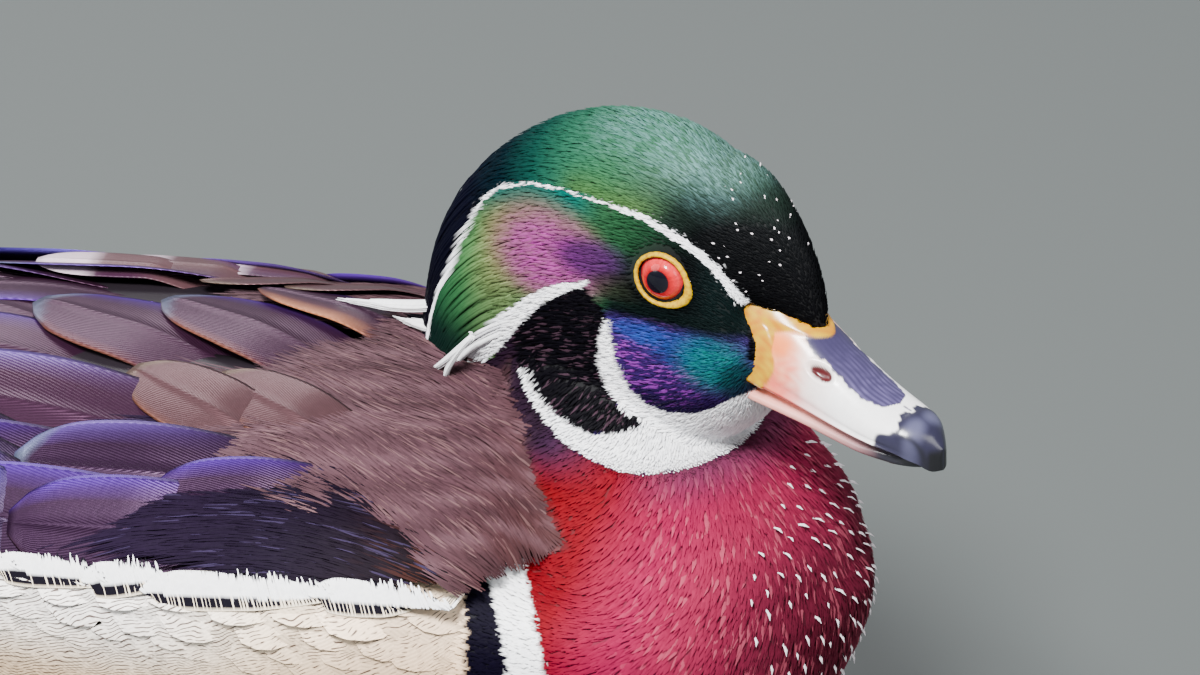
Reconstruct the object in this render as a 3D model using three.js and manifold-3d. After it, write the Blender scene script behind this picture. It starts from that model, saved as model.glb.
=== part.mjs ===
// A drake wood duck at life size, resting on its belly as it floats, with its head drawn in and turned to its right.
// Millimetres, +Z up and +X towards the breast. The origin is the middle of the flat patch under the belly.
import * as THREE from "three";
import { mergeVertices } from "three/addons/utils/BufferGeometryUtils.js";
import Module from "manifold-3d";

const wasm = await Module();
wasm.setup();
const { Manifold, Mesh: SolidMesh } = wasm;

const DEG = Math.PI / 180;
const GAP = 0.3; // between neighbouring pieces
const RIGHT = 1; // side signs: angles round a section grow towards the bird's right
const LEFT = -1;
const SIDES = [[RIGHT, "right"], [LEFT, "left"]];

// Curves and numbers

const clamp = (value, low, high) => Math.min(Math.max(value, low), high);
const mix = (a, b, share) => a + (b - a) * share;
const signedPower = (value, power) => Math.sign(value) * Math.abs(value) ** power;

// Evenly spaced numbers, closer together towards both ends where softEnds is set.
function steps(from, to, count, softEnds = false) {
  return Array.from({ length: count }, (_, i) => {
    const share = count > 1 ? i / (count - 1) : 0.5;
    return mix(from, to, softEnds ? (1 - Math.cos(Math.PI * share)) / 2 : share);
  });
}

// A smooth curve through [position, value] knots.
function profile(...knots) {
  const last = knots.length - 1;
  const slopes = knots.map((_, i) => {
    const [before, after] = [knots[Math.max(i - 1, 0)], knots[Math.min(i + 1, last)]];
    return (after[1] - before[1]) / (after[0] - before[0]);
  });
  return (position) => {
    let i = 0;
    while (i < last - 1 && position > knots[i + 1][0]) i++;
    const step = knots[i + 1][0] - knots[i][0];
    const t = clamp((position - knots[i][0]) / step, 0, 1);
    const rise = 3 * t * t - 2 * t * t * t;
    const leave = t * (1 - t) * (1 - t) * step * slopes[i];
    const arrive = t * t * (t - 1) * step * slopes[i + 1];
    return mix(knots[i][1], knots[i + 1][1], rise) + leave + arrive;
  };
}

// 1 along a body, falling to 0 at its end as a quarter circle does.
function roundedOff(position, from, to) {
  const share = clamp((position - from) / (to - from), 0, 1);
  return Math.sqrt(1 - share * share);
}

// A seeded draw between -1 and 1, the same on every run.
function seededDraw(seed) {
  let state = seed;
  return () => {
    state = (state * 1664525 + 1013904223) % 4294967296;
    return (state / 4294967296) * 2 - 1;
  };
}
const draw = seededDraw(7);

// A point of an egg-shaped section in the plane across x: angle 0 is its top and 90 degrees the bird's right side.
function eggPoint(x, egg, angle, lift = 0) {
  const [side, height] = [Math.sin(angle), Math.cos(angle)];
  const power = 2 / egg.fullness;
  const reach = (height > 0 ? egg.up : egg.down) + lift;
  const across = -(egg.half + lift) * signedPower(side, power);
  return new THREE.Vector3(x, across, egg.mid + reach * signedPower(height, power));
}

// Solids

// A closed geometry as a solid, whichever way its faces were wound.
function solidOf(geometry) {
  const bare = geometry.clone();
  for (const name of Object.keys(bare.attributes)) if (name !== "position") bare.deleteAttribute(name);
  const merged = mergeVertices(bare, 1e-4);
  const faces = [];
  for (let i = 0; i < merged.index.count; i += 3) {
    const [a, b, c] = [0, 1, 2].map((k) => merged.index.getX(i + k));
    if (a !== b && b !== c && c !== a) faces.push([a, b, c]);
  }
  const build = (list) =>
    new Manifold(
      new SolidMesh({
        numProp: 3,
        vertProperties: new Float32Array(merged.attributes.position.array),
        triVerts: new Uint32Array(list.flat()),
      }),
    );
  const solid = build(faces);
  return solid.volume() > 0 ? solid : build(faces.map(([a, b, c]) => [a, c, b]));
}

function solidFrom(points, triangles) {
  const geometry = new THREE.BufferGeometry().setFromPoints(points);
  geometry.setIndex(triangles);
  return solidOf(geometry);
}

// Rings with as many points each, joined in order. Both ends are closed by a fan, or the last ring meets the first.
function loft(rings, hoop = false) {
  const count = rings[0].length;
  const points = rings.flat();
  const triangles = [];
  for (let r = 0; r < rings.length - (hoop ? 0 : 1); r++)
    for (let i = 0; i < count; i++) {
      const [a, b] = [r * count + i, r * count + ((i + 1) % count)];
      const next = ((r + 1) % rings.length) * count - r * count;
      triangles.push(a, b, b + next, a, b + next, a + next);
    }
  for (const [r, turned] of hoop ? [] : [[0, true], [rings.length - 1, false]]) {
    const middle = points.length;
    points.push(rings[r].reduce((sum, p) => sum.add(p), new THREE.Vector3()).divideScalar(count));
    for (let i = 0; i < count; i++) {
      const [a, b] = [r * count + i, r * count + ((i + 1) % count)];
      triangles.push(...(turned ? [middle, b, a] : [middle, a, b]));
    }
  }
  return solidFrom(points, triangles);
}

// A thin sheet between two grids of points, which are split into triangles alike.
function sheet(top, bottom) {
  const [rows, columns] = [top.length, top[0].length];
  const under = rows * columns;
  const at = (r, c) => r * columns + c;
  const triangles = [];
  for (let r = 0; r < rows - 1; r++)
    for (let c = 0; c < columns - 1; c++) {
      const [a, b, d, e] = [at(r, c), at(r, c + 1), at(r + 1, c + 1), at(r + 1, c)];
      triangles.push(a, b, d, a, d, e);
      triangles.push(a + under, d + under, b + under, a + under, e + under, d + under);
    }
  const rim = [];
  for (let c = 0; c < columns - 1; c++) rim.push(at(0, c));
  for (let r = 0; r < rows - 1; r++) rim.push(at(r, columns - 1));
  for (let c = columns - 1; c > 0; c--) rim.push(at(rows - 1, c));
  for (let r = rows - 1; r > 0; r--) rim.push(at(r, 0));
  rim.forEach((a, i) => {
    const b = rim[(i + 1) % rim.length];
    triangles.push(a, a + under, b + under, a, b + under, b);
  });
  return solidFrom([...top.flat(), ...bottom.flat()], triangles);
}

const joined = (solids) => solids.reduce((sum, solid) => sum.add(solid));
const cutBy = (solid, cutters) => cutters.reduce((left, cutter) => left.subtract(cutter), solid);

// Only the largest closed surface: a sealed hollow is filled and a loose scrap is dropped.
function largestBody(solid) {
  return solid.decompose().reduce((best, body) => (body.volume() > best.volume() ? body : best));
}

// The same solid with every face moved out by about the gap, for cutting its neighbours clear of it.
function grown(solid) {
  const { numVert, numProp, triVerts, vertProperties } = solid.getMesh();
  const points = Array.from({ length: numVert }, (_, i) =>
    new THREE.Vector3().fromArray(vertProperties, i * numProp),
  );
  const faces = Array.from({ length: triVerts.length / 3 }, (_, f) => [0, 1, 2].map((k) => triVerts[3 * f + k]));
  const normals = faces.map(([a, b, c]) =>
    points[b].clone().sub(points[a]).cross(points[c].clone().sub(points[a])).normalize(),
  );
  const outward = points.map(() => new THREE.Vector3());
  faces.forEach((face, f) => face.forEach((i) => outward[i].add(normals[f])));
  outward.forEach((normal) => normal.normalize());
  const flattest = points.map(() => 1);
  faces.forEach((face, f) =>
    face.forEach((i) => {
      flattest[i] = Math.min(flattest[i], normals[f].dot(outward[i]));
    }),
  );
  const sharpest = 0.35; // keeps the point of a keen edge from running far out
  const moved = points.map((p, i) => p.clone().addScaledVector(outward[i], GAP / Math.max(flattest[i], sharpest)));
  return solidFrom(moved, faces.flat());
}
const clearOf = (pieces) => joined(pieces.map(grown));

function ellipsoid(centre, radii, sides = 16, turn = new THREE.Euler()) {
  const geometry = new THREE.SphereGeometry(1, sides, Math.round(sides * 0.6));
  geometry.scale(...radii);
  geometry.applyMatrix4(new THREE.Matrix4().makeRotationFromEuler(turn));
  geometry.translate(...centre);
  return solidOf(geometry);
}

// A round tube along a curve, with its radius given along it.
function tube(curve, radiusAt, rings, sides) {
  const frames = curve.computeFrenetFrames(rings - 1);
  return loft(
    frames.tangents.map((_, r) => {
      const share = r / (rings - 1);
      const centre = curve.getPointAt(share);
      return Array.from({ length: sides }, (_, i) => {
        const angle = (i / sides) * 2 * Math.PI;
        return centre
          .clone()
          .addScaledVector(frames.normals[r], radiusAt(share) * Math.cos(angle))
          .addScaledVector(frames.binormals[r], radiusAt(share) * Math.sin(angle));
      });
    }),
  );
}

const curveThrough = (...points) => new THREE.CatmullRomCurve3(points.map((p) => new THREE.Vector3(...p)));

function ringsOfEggs(stations, sides, eggAt) {
  return stations.map((x) => {
    const egg = eggAt(x);
    return Array.from({ length: sides }, (_, i) => eggPoint(x, egg, (i / sides) * 2 * Math.PI));
  });
}

// Feathers. A vane is a row of stations from root to tip, each a share of its length and of its width.

const RISEN = 0.4; // the share of a vane's length at which it stands at its level
const ROUND_VANE = [[0, 0.6], [0.42, 1], [0.84, 0.84], [1, 0.26]];
const LONG_VANE = [[0, 0.5], [0.3, 0.9], [0.62, 1], [0.9, 0.74], [1, 0.24]];
const POINTED_VANE = [[0, 0.5], [0.3, 0.9], [0.6, 1], [0.86, 0.62], [1, 0.12]];
const LOCK = [[0, 0.5], [0.35, 1], [0.8, 0.9], [1, 0.3]];

// A feather laid on a surface, a function of two coordinates and a lift. Its root is sunk in what it grows from, its
// tip stands at a level above the surface, and one of its edges stands higher than the other by twice its tilt.
function vane(surface, feather) {
  const { from, to, width, shape, thick = 0.8, sunk = 1.7, level = 0.8, tilt = 0, crown = 0.008 } = feather;
  const at = (t, lift) => surface(mix(from[0], to[0], t), mix(from[1], to[1], t), lift);
  const [top, bottom] = [[], []];
  for (const [t, share] of shape) {
    const centre = at(t, 0);
    const up = at(t, 1).sub(centre).normalize();
    const along = at(t + 0.02, 0).sub(at(t - 0.02, 0)).normalize();
    const side = up.clone().cross(along).normalize();
    const lift = mix(-sunk, level, clamp(t / RISEN, 0, 1));
    const row = [-1, 1].map((edge) => {
      const out = (edge * share * width) / 2;
      const high = lift + edge * share * tilt - crown * out * out;
      return centre.clone().addScaledVector(side, out).addScaledVector(up, high);
    });
    top.push(row);
    bottom.push(row.map((p) => p.clone().addScaledVector(up, -thick)));
  }
  return sheet(top, bottom);
}

// A row of vanes whose sizes run evenly from the first to the last, each varied a little.
function vaneRow(surface, side, { count, from, to, width, level = [0.8, 0.8], tilt = 0.8, vary = 0.03, ...rest }) {
  return steps(0, 1, count).map((share) => {
    const between = ([first, last]) => [mix(first[0], last[0], share), mix(first[1], last[1], share)];
    const [root, tip] = [between(from), between(to)];
    tip[0] += draw() * vary * Math.abs(tip[0] - root[0]);
    return vane(surface, {
      from: [root[0], side * root[1]],
      to: [tip[0], side * tip[1]],
      width: mix(width[0], width[1], share) * (1 + 0.5 * vary * draw()),
      level: mix(level[0], level[1], share),
      tilt: side * tilt,
      ...rest,
    });
  });
}

// Torso

const TORSO = {
  rear: -158,
  front: 125.5,
  mid: profile([-158, 70], [-110, 62], [-50, 56], [20, 54], [80, 53], [125.5, 56]),
  up: profile([-158, 12], [-110, 23], [-60, 31], [-10, 35.5], [30, 36.5], [60, 33.5], [95, 27], [125.5, 24]),
  down: profile([-158, 13], [-125, 25], [-95, 39], [-60, 51.5], [-20, 56.3], [30, 56], [75, 51], [125.5, 42]),
  half: profile([-158, 17], [-125, 35], [-90, 50], [-45, 62], [0, 66], [40, 65.5], [80, 59], [125.5, 50]),
  fullness: 2.3,
  sides: 28,
  rings: 18,
};

function torsoEgg(x) {
  const round = Math.min(roundedOff(x, 78, TORSO.front), roundedOff(-x, 140, -TORSO.rear));
  return {
    mid: TORSO.mid(x),
    up: TORSO.up(x) * round,
    down: TORSO.down(x) * round,
    half: TORSO.half(x) * round,
    fullness: TORSO.fullness,
  };
}

const torsoPoint = (x, degrees, lift) => eggPoint(x, torsoEgg(x), degrees * DEG, lift);

function torsoSolid() {
  const stations = steps(TORSO.rear + 0.1, TORSO.front - 0.1, TORSO.rings, true);
  return loft(ringsOfEggs(stations, TORSO.sides, torsoEgg));
}

// The belly is cut flat at the floor that it rests on.
function floorCut(solid) {
  const slab = new THREE.BoxGeometry(600, 400, 60).translate(0, 0, -30);
  return solid.subtract(solidOf(slab));
}

// The row of broad flank feathers just under the wing's lower edge: places along the body and round it.
const FLANK_ROW = {
  count: 5,
  from: [[46, 86], [-82, 90]],
  to: [[8, 72], [-120, 80]],
  width: [36, 32],
  level: [2.8, 2.3],
  tilt: 0.5,
  shape: ROUND_VANE,
  thick: 0.9,
};

// Head, in its own frame: x forward and z up from the point midway between the eyes

const HEAD_AT = new THREE.Vector3(94.4, -10.6, 131.3);
const HEAD_YAW = -25;
const HEAD_PITCH = 2.5;
const HEAD_ROLL = 3;

const headFrame = new THREE.Matrix4().compose(
  HEAD_AT,
  new THREE.Quaternion().setFromEuler(new THREE.Euler(HEAD_ROLL * DEG, HEAD_PITCH * DEG, HEAD_YAW * DEG, "ZYX")),
  new THREE.Vector3(1, 1, 1),
);
const placed = (solid) => solid.transform(headFrame.elements);

const curve2 = (...points) => new THREE.SplineCurve(points.map(([x, z]) => new THREE.Vector2(x, z)));
const CROWN_LINE = curve2(
  [15, -2], [14, 13], [3, 24], [-14, 26.5], [-34, 21], [-52, 8.5], [-63, -8.5], [-67, -26], [-68, -43],
);
const THROAT_LINE = curve2(
  [20, -21], [15, -32], [6, -40], [-4, -45], [-13, -47.5], [-21, -48.5], [-29, -49], [-37, -49], [-45, -49],
);
const HEAD = {
  half: profile([0, 9.4], [0.1, 12.8], [0.22, 15.6], [0.36, 18.6], [0.5, 21], [0.66, 21], [0.82, 18.5], [1, 14]),
  widest: profile([0, 0.35], [0.2, 0.36], [0.5, 0.42], [1, 0.5]), // share of the way up from the throat line
  fullness: 2.15,
  sides: 26,
  rings: 16,
};

// A point of the head at share t of the way from bill to hind neck, at an angle round that section.
function headPoint(t, angle, lift = 0) {
  const [top, bottom] = [CROWN_LINE.getPoint(clamp(t, 0, 1)), THROAT_LINE.getPoint(clamp(t, 0, 1))];
  const up = top.clone().sub(bottom);
  const height = up.length();
  up.normalize();
  const middle = bottom.clone().addScaledVector(up, height * HEAD.widest(t));
  const [side, rise] = [Math.sin(angle), Math.cos(angle)];
  const power = 2 / HEAD.fullness;
  const reach = height * (rise > 0 ? 1 - HEAD.widest(t) : HEAD.widest(t)) + lift;
  const along = middle.addScaledVector(up, reach * signedPower(rise, power));
  return new THREE.Vector3(along.x, -(HEAD.half(t) + lift) * signedPower(side, power), along.y);
}

function skullSolid() {
  return loft(
    steps(0, 1, HEAD.rings, true).map((t) =>
      Array.from({ length: HEAD.sides }, (_, i) => headPoint(t, (i / HEAD.sides) * 2 * Math.PI)),
    ),
  );
}

// The feathered tongue that runs from the forehead down on to the bill.
const FOREHEAD = {
  back: -8,
  tip: 31.5,
  top: profile([-8, 19], [0, 23.3], [6, 23.4], [14, 20.4], [21, 15.5], [26, 9.5], [29.5, 2], [31.5, -6]),
  bottom: profile([-8, 6], [0, 2], [10, -3], [18, -7], [25, -9], [31.5, -9.5]),
  half: profile([-8, 8], [0, 11.5], [8, 12.4], [14, 10.8], [20, 8], [26, 5], [31.5, 3.2]),
  middle: 0.35, // of the way up to the widest part
};

function foreheadEgg(x) {
  const round = roundedOff(x, 27, FOREHEAD.tip);
  const [top, bottom] = [FOREHEAD.top(x), FOREHEAD.bottom(x)];
  const mid = mix(bottom, top, FOREHEAD.middle);
  return {
    mid,
    up: (top - mid) * mix(round, 1, 0.4),
    down: (mid - bottom) * round,
    half: FOREHEAD.half(x) * round,
    fullness: 2.1,
  };
}

function foreheadSolid() {
  return loft(ringsOfEggs(steps(FOREHEAD.back, FOREHEAD.tip - 0.05, 10), 18, foreheadEgg));
}

// Crest feathers follow the back of the head, then trail from the nape over the back.
const TRAIL = { from: 0.84, over: 0.35, back: 21, drop: 8.5, spread: 0.1 };

function crestPoint(u, degrees, lift) {
  if (u <= TRAIL.from) return headPoint(u, degrees * DEG, lift);
  const share = (u - TRAIL.from) / TRAIL.over;
  const point = headPoint(TRAIL.from, degrees * DEG, lift * Math.max(1 - share, 0));
  point.x -= TRAIL.back * share ** 1.7;
  point.y *= 1 + TRAIL.spread * share;
  point.z += lift * share - TRAIL.drop * (1 - (1 - share) ** 2);
  return point;
}

// Each tier of crest feathers: from where to where along the crest, and how far round the head on either side.
const CREST_TIERS = [
  { count: 5, from: 0.7, to: 1.14, roots: 58, tips: 42, width: 12, level: 0.6 },
  { count: 3, from: 0.56, to: 0.95, roots: 44, tips: 34, width: 17, level: 0.9 },
  { count: 2, from: 0.44, to: 0.8, roots: 16, tips: 13, width: 14, level: 1.1 },
];
const NAPE_PLUME = { from: [0.7, 88], to: [1.04, 66], width: 11, shape: LOCK, thick: 0.9 };

function crestFeathers() {
  const tiers = CREST_TIERS.flatMap((tier) =>
    steps(-1, 1, tier.count).map((share) => {
      const shorter = 0.06 * share * share + 0.02 * draw();
      return vane(crestPoint, {
        from: [tier.from, share * tier.roots],
        to: [tier.to - shorter, share * tier.tips],
        width: tier.width,
        shape: LOCK,
        sunk: 1.4,
        level: tier.level,
        thick: 0.9,
      });
    }),
  );
  const { from, to, ...plume } = NAPE_PLUME;
  const plumes = SIDES.map(([side]) =>
    vane(crestPoint, { from: [from[0], side * from[1]], to: [to[0], side * to[1]], ...plume }),
  );
  return [...tiers, ...plumes];
}

// Eyes, each turned a little forward and up, and the ring of its lids

const EYE = { y: 11, radius: 6.2, socket: 6.5, forward: 13, upward: 3 };
const LID = { reach: 7.0, thick: 0.95, polar: 52, frontCorner: 10, rearCorner: 4, steps: 15, sides: 5 };

const eyeCentre = (side) => new THREE.Vector3(0, -side * EYE.y, 0);
const ballOf = (side, radius) => ellipsoid(eyeCentre(side), [radius, radius, radius], 14);

function lidSolid(side) {
  const out = new THREE.Vector3(Math.sin(EYE.forward * DEG), -side * Math.cos(EYE.forward * DEG), 0.05).normalize();
  const forward = new THREE.Vector3(0, 0, 1).cross(out).multiplyScalar(side).normalize();
  if (forward.x < 0) forward.negate();
  const upward = new THREE.Vector3(0, 0, 1).projectOnPlane(out).normalize();
  const direction = (turn, extra) => {
    const corner = LID.frontCorner * Math.max(0, Math.cos(turn + 0.35)) ** 6;
    const rear = LID.rearCorner * Math.max(0, -Math.cos(turn + 0.35)) ** 6;
    const polar = (LID.polar - 4 * Math.abs(Math.sin(turn)) + corner + rear + extra) * DEG;
    const level = forward.clone().multiplyScalar(Math.cos(turn)).addScaledVector(upward, Math.sin(turn));
    return out.clone().multiplyScalar(Math.cos(polar)).addScaledVector(level, Math.sin(polar));
  };
  const rings = Array.from({ length: LID.steps }, (_, k) => {
    const turn = (k / LID.steps) * 2 * Math.PI;
    const radial = direction(turn, 0);
    const outer = direction(turn, 8).sub(radial).normalize();
    const centre = eyeCentre(side).addScaledVector(radial, LID.reach);
    return Array.from({ length: LID.sides }, (_, i) => {
      const angle = (i / LID.sides) * 2 * Math.PI;
      return centre
        .clone()
        .addScaledVector(radial, LID.thick * Math.cos(angle))
        .addScaledVector(outer, LID.thick * Math.sin(angle));
    });
  });
  return loft(rings, true);
}

// Bill, in the head's frame

const BILL = {
  base: 10,
  tip: 61.4,
  culmen: profile(
    [10, 5], [20, -0.5], [31, -7.5], [37, -11.2], [43, -14.4], [49, -16.9], [55, -18.6], [59, -20.8], [61.4, -24],
  ),
  cut: profile([10, -20.5], [20, -21.2], [31, -22.2], [44, -23.9], [54, -25], [58, -27], [60, -28.6], [61.4, -28.4]),
  half: profile([10, 9], [20, 9], [31, 8.7], [44, 8.3], [51, 7.7], [56, 6.2], [59, 4.4], [61.4, 3]),
  fullness: 2.4,
  widest: 0.14, // share of the way up from the cutting edge
};

function billEgg(x) {
  const round = roundedOff(x, 56, BILL.tip);
  const [top, bottom] = [BILL.culmen(x), BILL.cut(x)];
  const mid = mix(bottom, top, BILL.widest);
  return { mid, up: top - mid, down: mid - bottom, half: BILL.half(x) * mix(round, 1, 0.15), fullness: BILL.fullness };
}

function upperBillSolid() {
  return loft(ringsOfEggs([...steps(BILL.base, 48, 6), ...steps(52, BILL.tip, 5)], 14, billEgg));
}

const MANDIBLE = { back: 12, tip: 56.5, depth: 3.6, clear: 0.45, inset: 1.0 };

function mandibleEgg(x) {
  const round = roundedOff(x, 44, MANDIBLE.tip + 0.4);
  const dip = 0.4 * Math.max(0, (x - 48) / 8);
  return {
    mid: BILL.cut(Math.min(x, 52)) - MANDIBLE.clear - MANDIBLE.depth / 2 - dip,
    up: MANDIBLE.depth / 2,
    down: MANDIBLE.depth / 2,
    half: (BILL.half(Math.min(x, 51)) - MANDIBLE.inset) * mix(round, 1, 0.1),
    fullness: 2.6,
  };
}

function lowerBillSolid() {
  return loft(ringsOfEggs(steps(MANDIBLE.back, MANDIBLE.tip, 9), 12, mandibleEgg));
}

const NOSTRIL = { x: 34.5, y: 6, z: -12.2, long: 2.3, tall: 1.2, deep: 1.6 };

function nostril(side) {
  const { x, y, z, long, deep, tall } = NOSTRIL;
  const turn = new THREE.Euler(side * -30 * DEG, 28 * DEG, 0);
  return ellipsoid([x, -side * y, z], [long, deep, tall], 10, turn);
}

// Neck, a short thick column whose sections lie flat and turn with the head as they rise

const NECK = {
  low: 52,
  high: 112,
  x: profile([52, 77], [75, 77], [95, 74], [112, 70]),
  y: profile([52, 0], [80, 0], [97, 2], [112, 5]),
  long: profile([52, 48], [66, 46.5], [76, 40.7], [86, 34], [92, 29.5], [103, 26], [112, 23]),
  half: profile([52, 54], [66, 52], [80, 43], [92, 33], [103, 26], [112, 23]),
  yaw: profile([52, 0], [80, -6], [112, -25]),
  base: { through: [50, 0, 88], slope: 30 }, // the cut between torso and neck
  top: { through: [75, 0, 97], slope: 0 }, // the cut between neck and head
  sides: 22,
};

function neckSolid() {
  const upright = new THREE.Vector3(0, 0, 1);
  return loft(
    steps(NECK.low, NECK.high, 8).map((z) =>
      Array.from({ length: NECK.sides }, (_, i) => {
        const angle = (i / NECK.sides) * 2 * Math.PI;
        return new THREE.Vector3(NECK.long(z) * Math.cos(angle), NECK.half(z) * Math.sin(angle), 0)
          .applyAxisAngle(upright, NECK.yaw(z) * DEG)
          .add(new THREE.Vector3(NECK.x(z), NECK.y(z), z));
      }),
    ),
  );
}

// Everything below a sloping plane, as a solid wide enough for the whole bird.
function belowPlane({ through, slope }, raised = 0) {
  const slab = new THREE.BoxGeometry(700, 700, 700).translate(0, 0, raised - 350);
  slab.rotateY(slope * DEG).translate(...through);
  return solidOf(slab);
}

// Folded wings, on a mantle that lies over the torso and runs on behind it

const MANTLE = {
  mid: profile([-222, 86], [-160, 77], [-110, 67], [-60, 60], [0, 56], [75, 56]),
  up: profile([-222, 8], [-160, 15], [-110, 26], [-60, 36], [-10, 41], [30, 41], [75, 33]),
  half: profile([-222, 17], [-160, 39], [-110, 55], [-60, 66], [-10, 70], [30, 69], [75, 57]),
};

function mantlePoint(x, degrees, lift) {
  const egg = { mid: MANTLE.mid(x), up: MANTLE.up(x), down: MANTLE.up(x), half: MANTLE.half(x), fullness: 2.2 };
  return eggPoint(x, egg, degrees * DEG, lift);
}

const WING = {
  shoulder: 74,
  end: -178, // of the core that the feathers grow from
  upperEdge: profile([-178, 22], [-110, 7], [0, 7], [45, 16], [74, 40]), // degrees round the body
  lowerEdge: profile([-178, 58], [-110, 68], [-40, 67], [30, 65], [60, 59], [74, 50]),
  thick: profile([-178, 0.8], [-150, 2.5], [-110, 5], [-40, 8], [30, 10], [74, 7]),
  tuck: 1.8, // how far the lower edge dips in towards the flank
};

function wingCore(side) {
  const rows = steps(WING.end, WING.shoulder, 11);
  const grid = (lift) =>
    rows.map((x) =>
      steps(0, 1, 5).map((share) => {
        const tuck = share === 1 ? WING.tuck : 0;
        return mantlePoint(x, side * mix(WING.upperEdge(x), WING.lowerEdge(x), share), lift(x) - tuck);
      }),
    );
  return sheet(grid(() => 0), grid((x) => -WING.thick(x)));
}

// The tiers of wing feathers. Each place is x, then degrees round the body, first for the lowest feather of the tier
// and last for the one nearest the back.
const WING_TIERS = {
  primaries: {
    count: 4, from: [[-92, 59], [-126, 44]], to: [[-212, 56], [-182, 40]], width: [16, 17],
    level: [0.6, 5.4], tilt: 0.2, shape: POINTED_VANE, thick: 0.7,
  },
  secondaries: {
    count: 4, from: [[-42, 58], [-76, 39]], to: [[-102, 59], [-146, 34]], width: [25, 26],
    level: [0.8, 1.2], shape: LONG_VANE,
  },
  tertials: {
    count: 3, from: [[-56, 31], [-50, 17]], to: [[-158, 27], [-124, 13]], width: [23, 22],
    level: [1.6, 2.0], shape: LONG_VANE,
  },
  greaterCoverts: {
    count: 4, from: [[4, 58], [-12, 39]], to: [[-52, 59], [-84, 38]], width: [25, 26],
    level: [1.2, 1.5], shape: ROUND_VANE,
  },
  lesserCoverts: {
    count: 2, from: [[52, 50], [46, 42]], to: [[-6, 54], [-22, 42]], width: [32, 32],
    level: [1.4, 1.6], shape: ROUND_VANE,
  },
  rearScapulars: {
    count: 3, from: [[-4, 30], [-2, 16]], to: [[-66, 27], [-60, 12]], width: [23, 22],
    level: [2.2, 2.4], shape: ROUND_VANE,
  },
  frontScapulars: {
    count: 3, from: [[52, 38], [46, 24]], to: [[-12, 31], [-16, 15]], width: [23, 21],
    level: [2.2, 2.4], shape: ROUND_VANE,
  },
};

function wingFeathers(side) {
  return Object.values(WING_TIERS).flatMap((tier) => vaneRow(mantlePoint, side, tier));
}

// Tail, cocked up from the rump. Places on it are how far back and how far across.

const TAIL = { x: -148, z: 67, rise: 10, droop: 0.0042, end: 60 };

function tailPoint(back, across, lift) {
  const rise = TAIL.rise * DEG;
  const height = lift - TAIL.droop * across * across;
  return new THREE.Vector3(
    TAIL.x - back * Math.cos(rise) - height * Math.sin(rise),
    across,
    TAIL.z + back * Math.sin(rise) + height * Math.cos(rise),
  );
}

const TAIL_CORE = {
  half: profile([-14, 13], [20, 16], [TAIL.end, 15]),
  top: profile([-14, 11], [12, 6.5], [TAIL.end, 0]),
  bottom: profile([-14, -11], [12, -8], [TAIL.end, -4.6]),
};
const RECTRICES = { pairs: 6, root: 1.7, pitch: 5.7, long: 104, shorter: 2.6, width: 11.5, step: 0.8, thick: 0.55 };
// Each tier of tail coverts: from where to where behind the rump, and how far out on either side.
const UPPER_COVERTS = [
  { count: 3, from: 12, to: 62, roots: 10, tips: 15, width: 17, level: 1.6 },
  { count: 3, from: -6, to: 34, roots: 9, tips: 13, width: 16, level: 4.6 },
];
const UNDER_COVERTS = [
  { count: 3, from: 10, to: 58, roots: 10, tips: 14, width: 16, level: -7.4 },
  { count: 2, from: -8, to: 34, roots: 7, tips: 8, width: 20, level: -10.2 },
];

function tailCore() {
  const rows = steps(-14, TAIL.end, 7);
  const grid = (edge) =>
    rows.map((back) => steps(-1, 1, 5).map((share) => tailPoint(back, share * TAIL_CORE.half(back), edge(back))));
  return sheet(grid(TAIL_CORE.top), grid(TAIL_CORE.bottom));
}

// The tail's long feathers, from the middle pair out: each lies under its inner neighbour.
function rectrices() {
  return SIDES.flatMap(([side]) =>
    steps(0.5, RECTRICES.pairs - 0.5, RECTRICES.pairs).map((place) => {
      const level = -RECTRICES.step * (place - 0.5 + (side === LEFT ? 1 : 0));
      const long = RECTRICES.long - RECTRICES.shorter * place * (1 + 0.1 * draw());
      return vane(tailPoint, {
        from: [12, side * RECTRICES.root * place],
        to: [long, side * RECTRICES.pitch * place],
        width: RECTRICES.width,
        shape: LONG_VANE,
        sunk: 2.2,
        level,
        thick: RECTRICES.thick,
        crown: 0.002,
      });
    }),
  );
}

function tailCoverts(tiers) {
  return tiers.flatMap((tier) =>
    steps(-1, 1, tier.count).map((share) =>
      vane(tailPoint, {
        from: [tier.from, share * tier.roots],
        to: [tier.to - 3.5 * share * share + 2 * draw(), share * tier.tips],
        width: tier.width,
        shape: ROUND_VANE,
        sunk: Math.sign(tier.level) * 1.5 - tier.level,
        level: tier.level,
        crown: 0.006,
      }),
    ),
  );
}

// Legs, tucked under the rear of the belly with the heel behind and the toes ahead, as a sitting duck folds them

const LEG = {
  thigh: { at: [-82, 32, 17], radii: [21, 11, 15.5] },
  heel: [-98, 35, 6],
  shank: [-84, 36, 3.4],
  toes: [-62, 38, 2.5],
  radius: profile([0, 3.6], [0.3, 2.9], [0.85, 2.7], [1, 3]),
};
const FOOT = {
  outTurn: 14, // degrees away from straight ahead
  toes: [[-15, 37], [1, 46], [17, 43]], // inner, middle and outer: degrees and length with the claw
  hallux: [160, 12],
  radius: profile([0, 2.7], [0.3, 2.1], [0.82, 1.5], [1, 0.35]),
  height: profile([0, 2.2], [0.8, 1.1], [1, 0.5]),
  web: { height: 1.2, half: 0.45, reach: 0.82, scallop: 0.12 },
};

function shankSolid(side) {
  const route = [LEG.heel, LEG.shank, LEG.toes].map(([x, y, z]) => [x, -side * y, z]);
  return tube(curveThrough(...route), LEG.radius, 6, 8);
}

function legSolid(side) {
  const [x, y, z] = LEG.thigh.at;
  return shankSolid(side).add(ellipsoid([x, -side * y, z], LEG.thigh.radii, 10));
}

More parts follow.
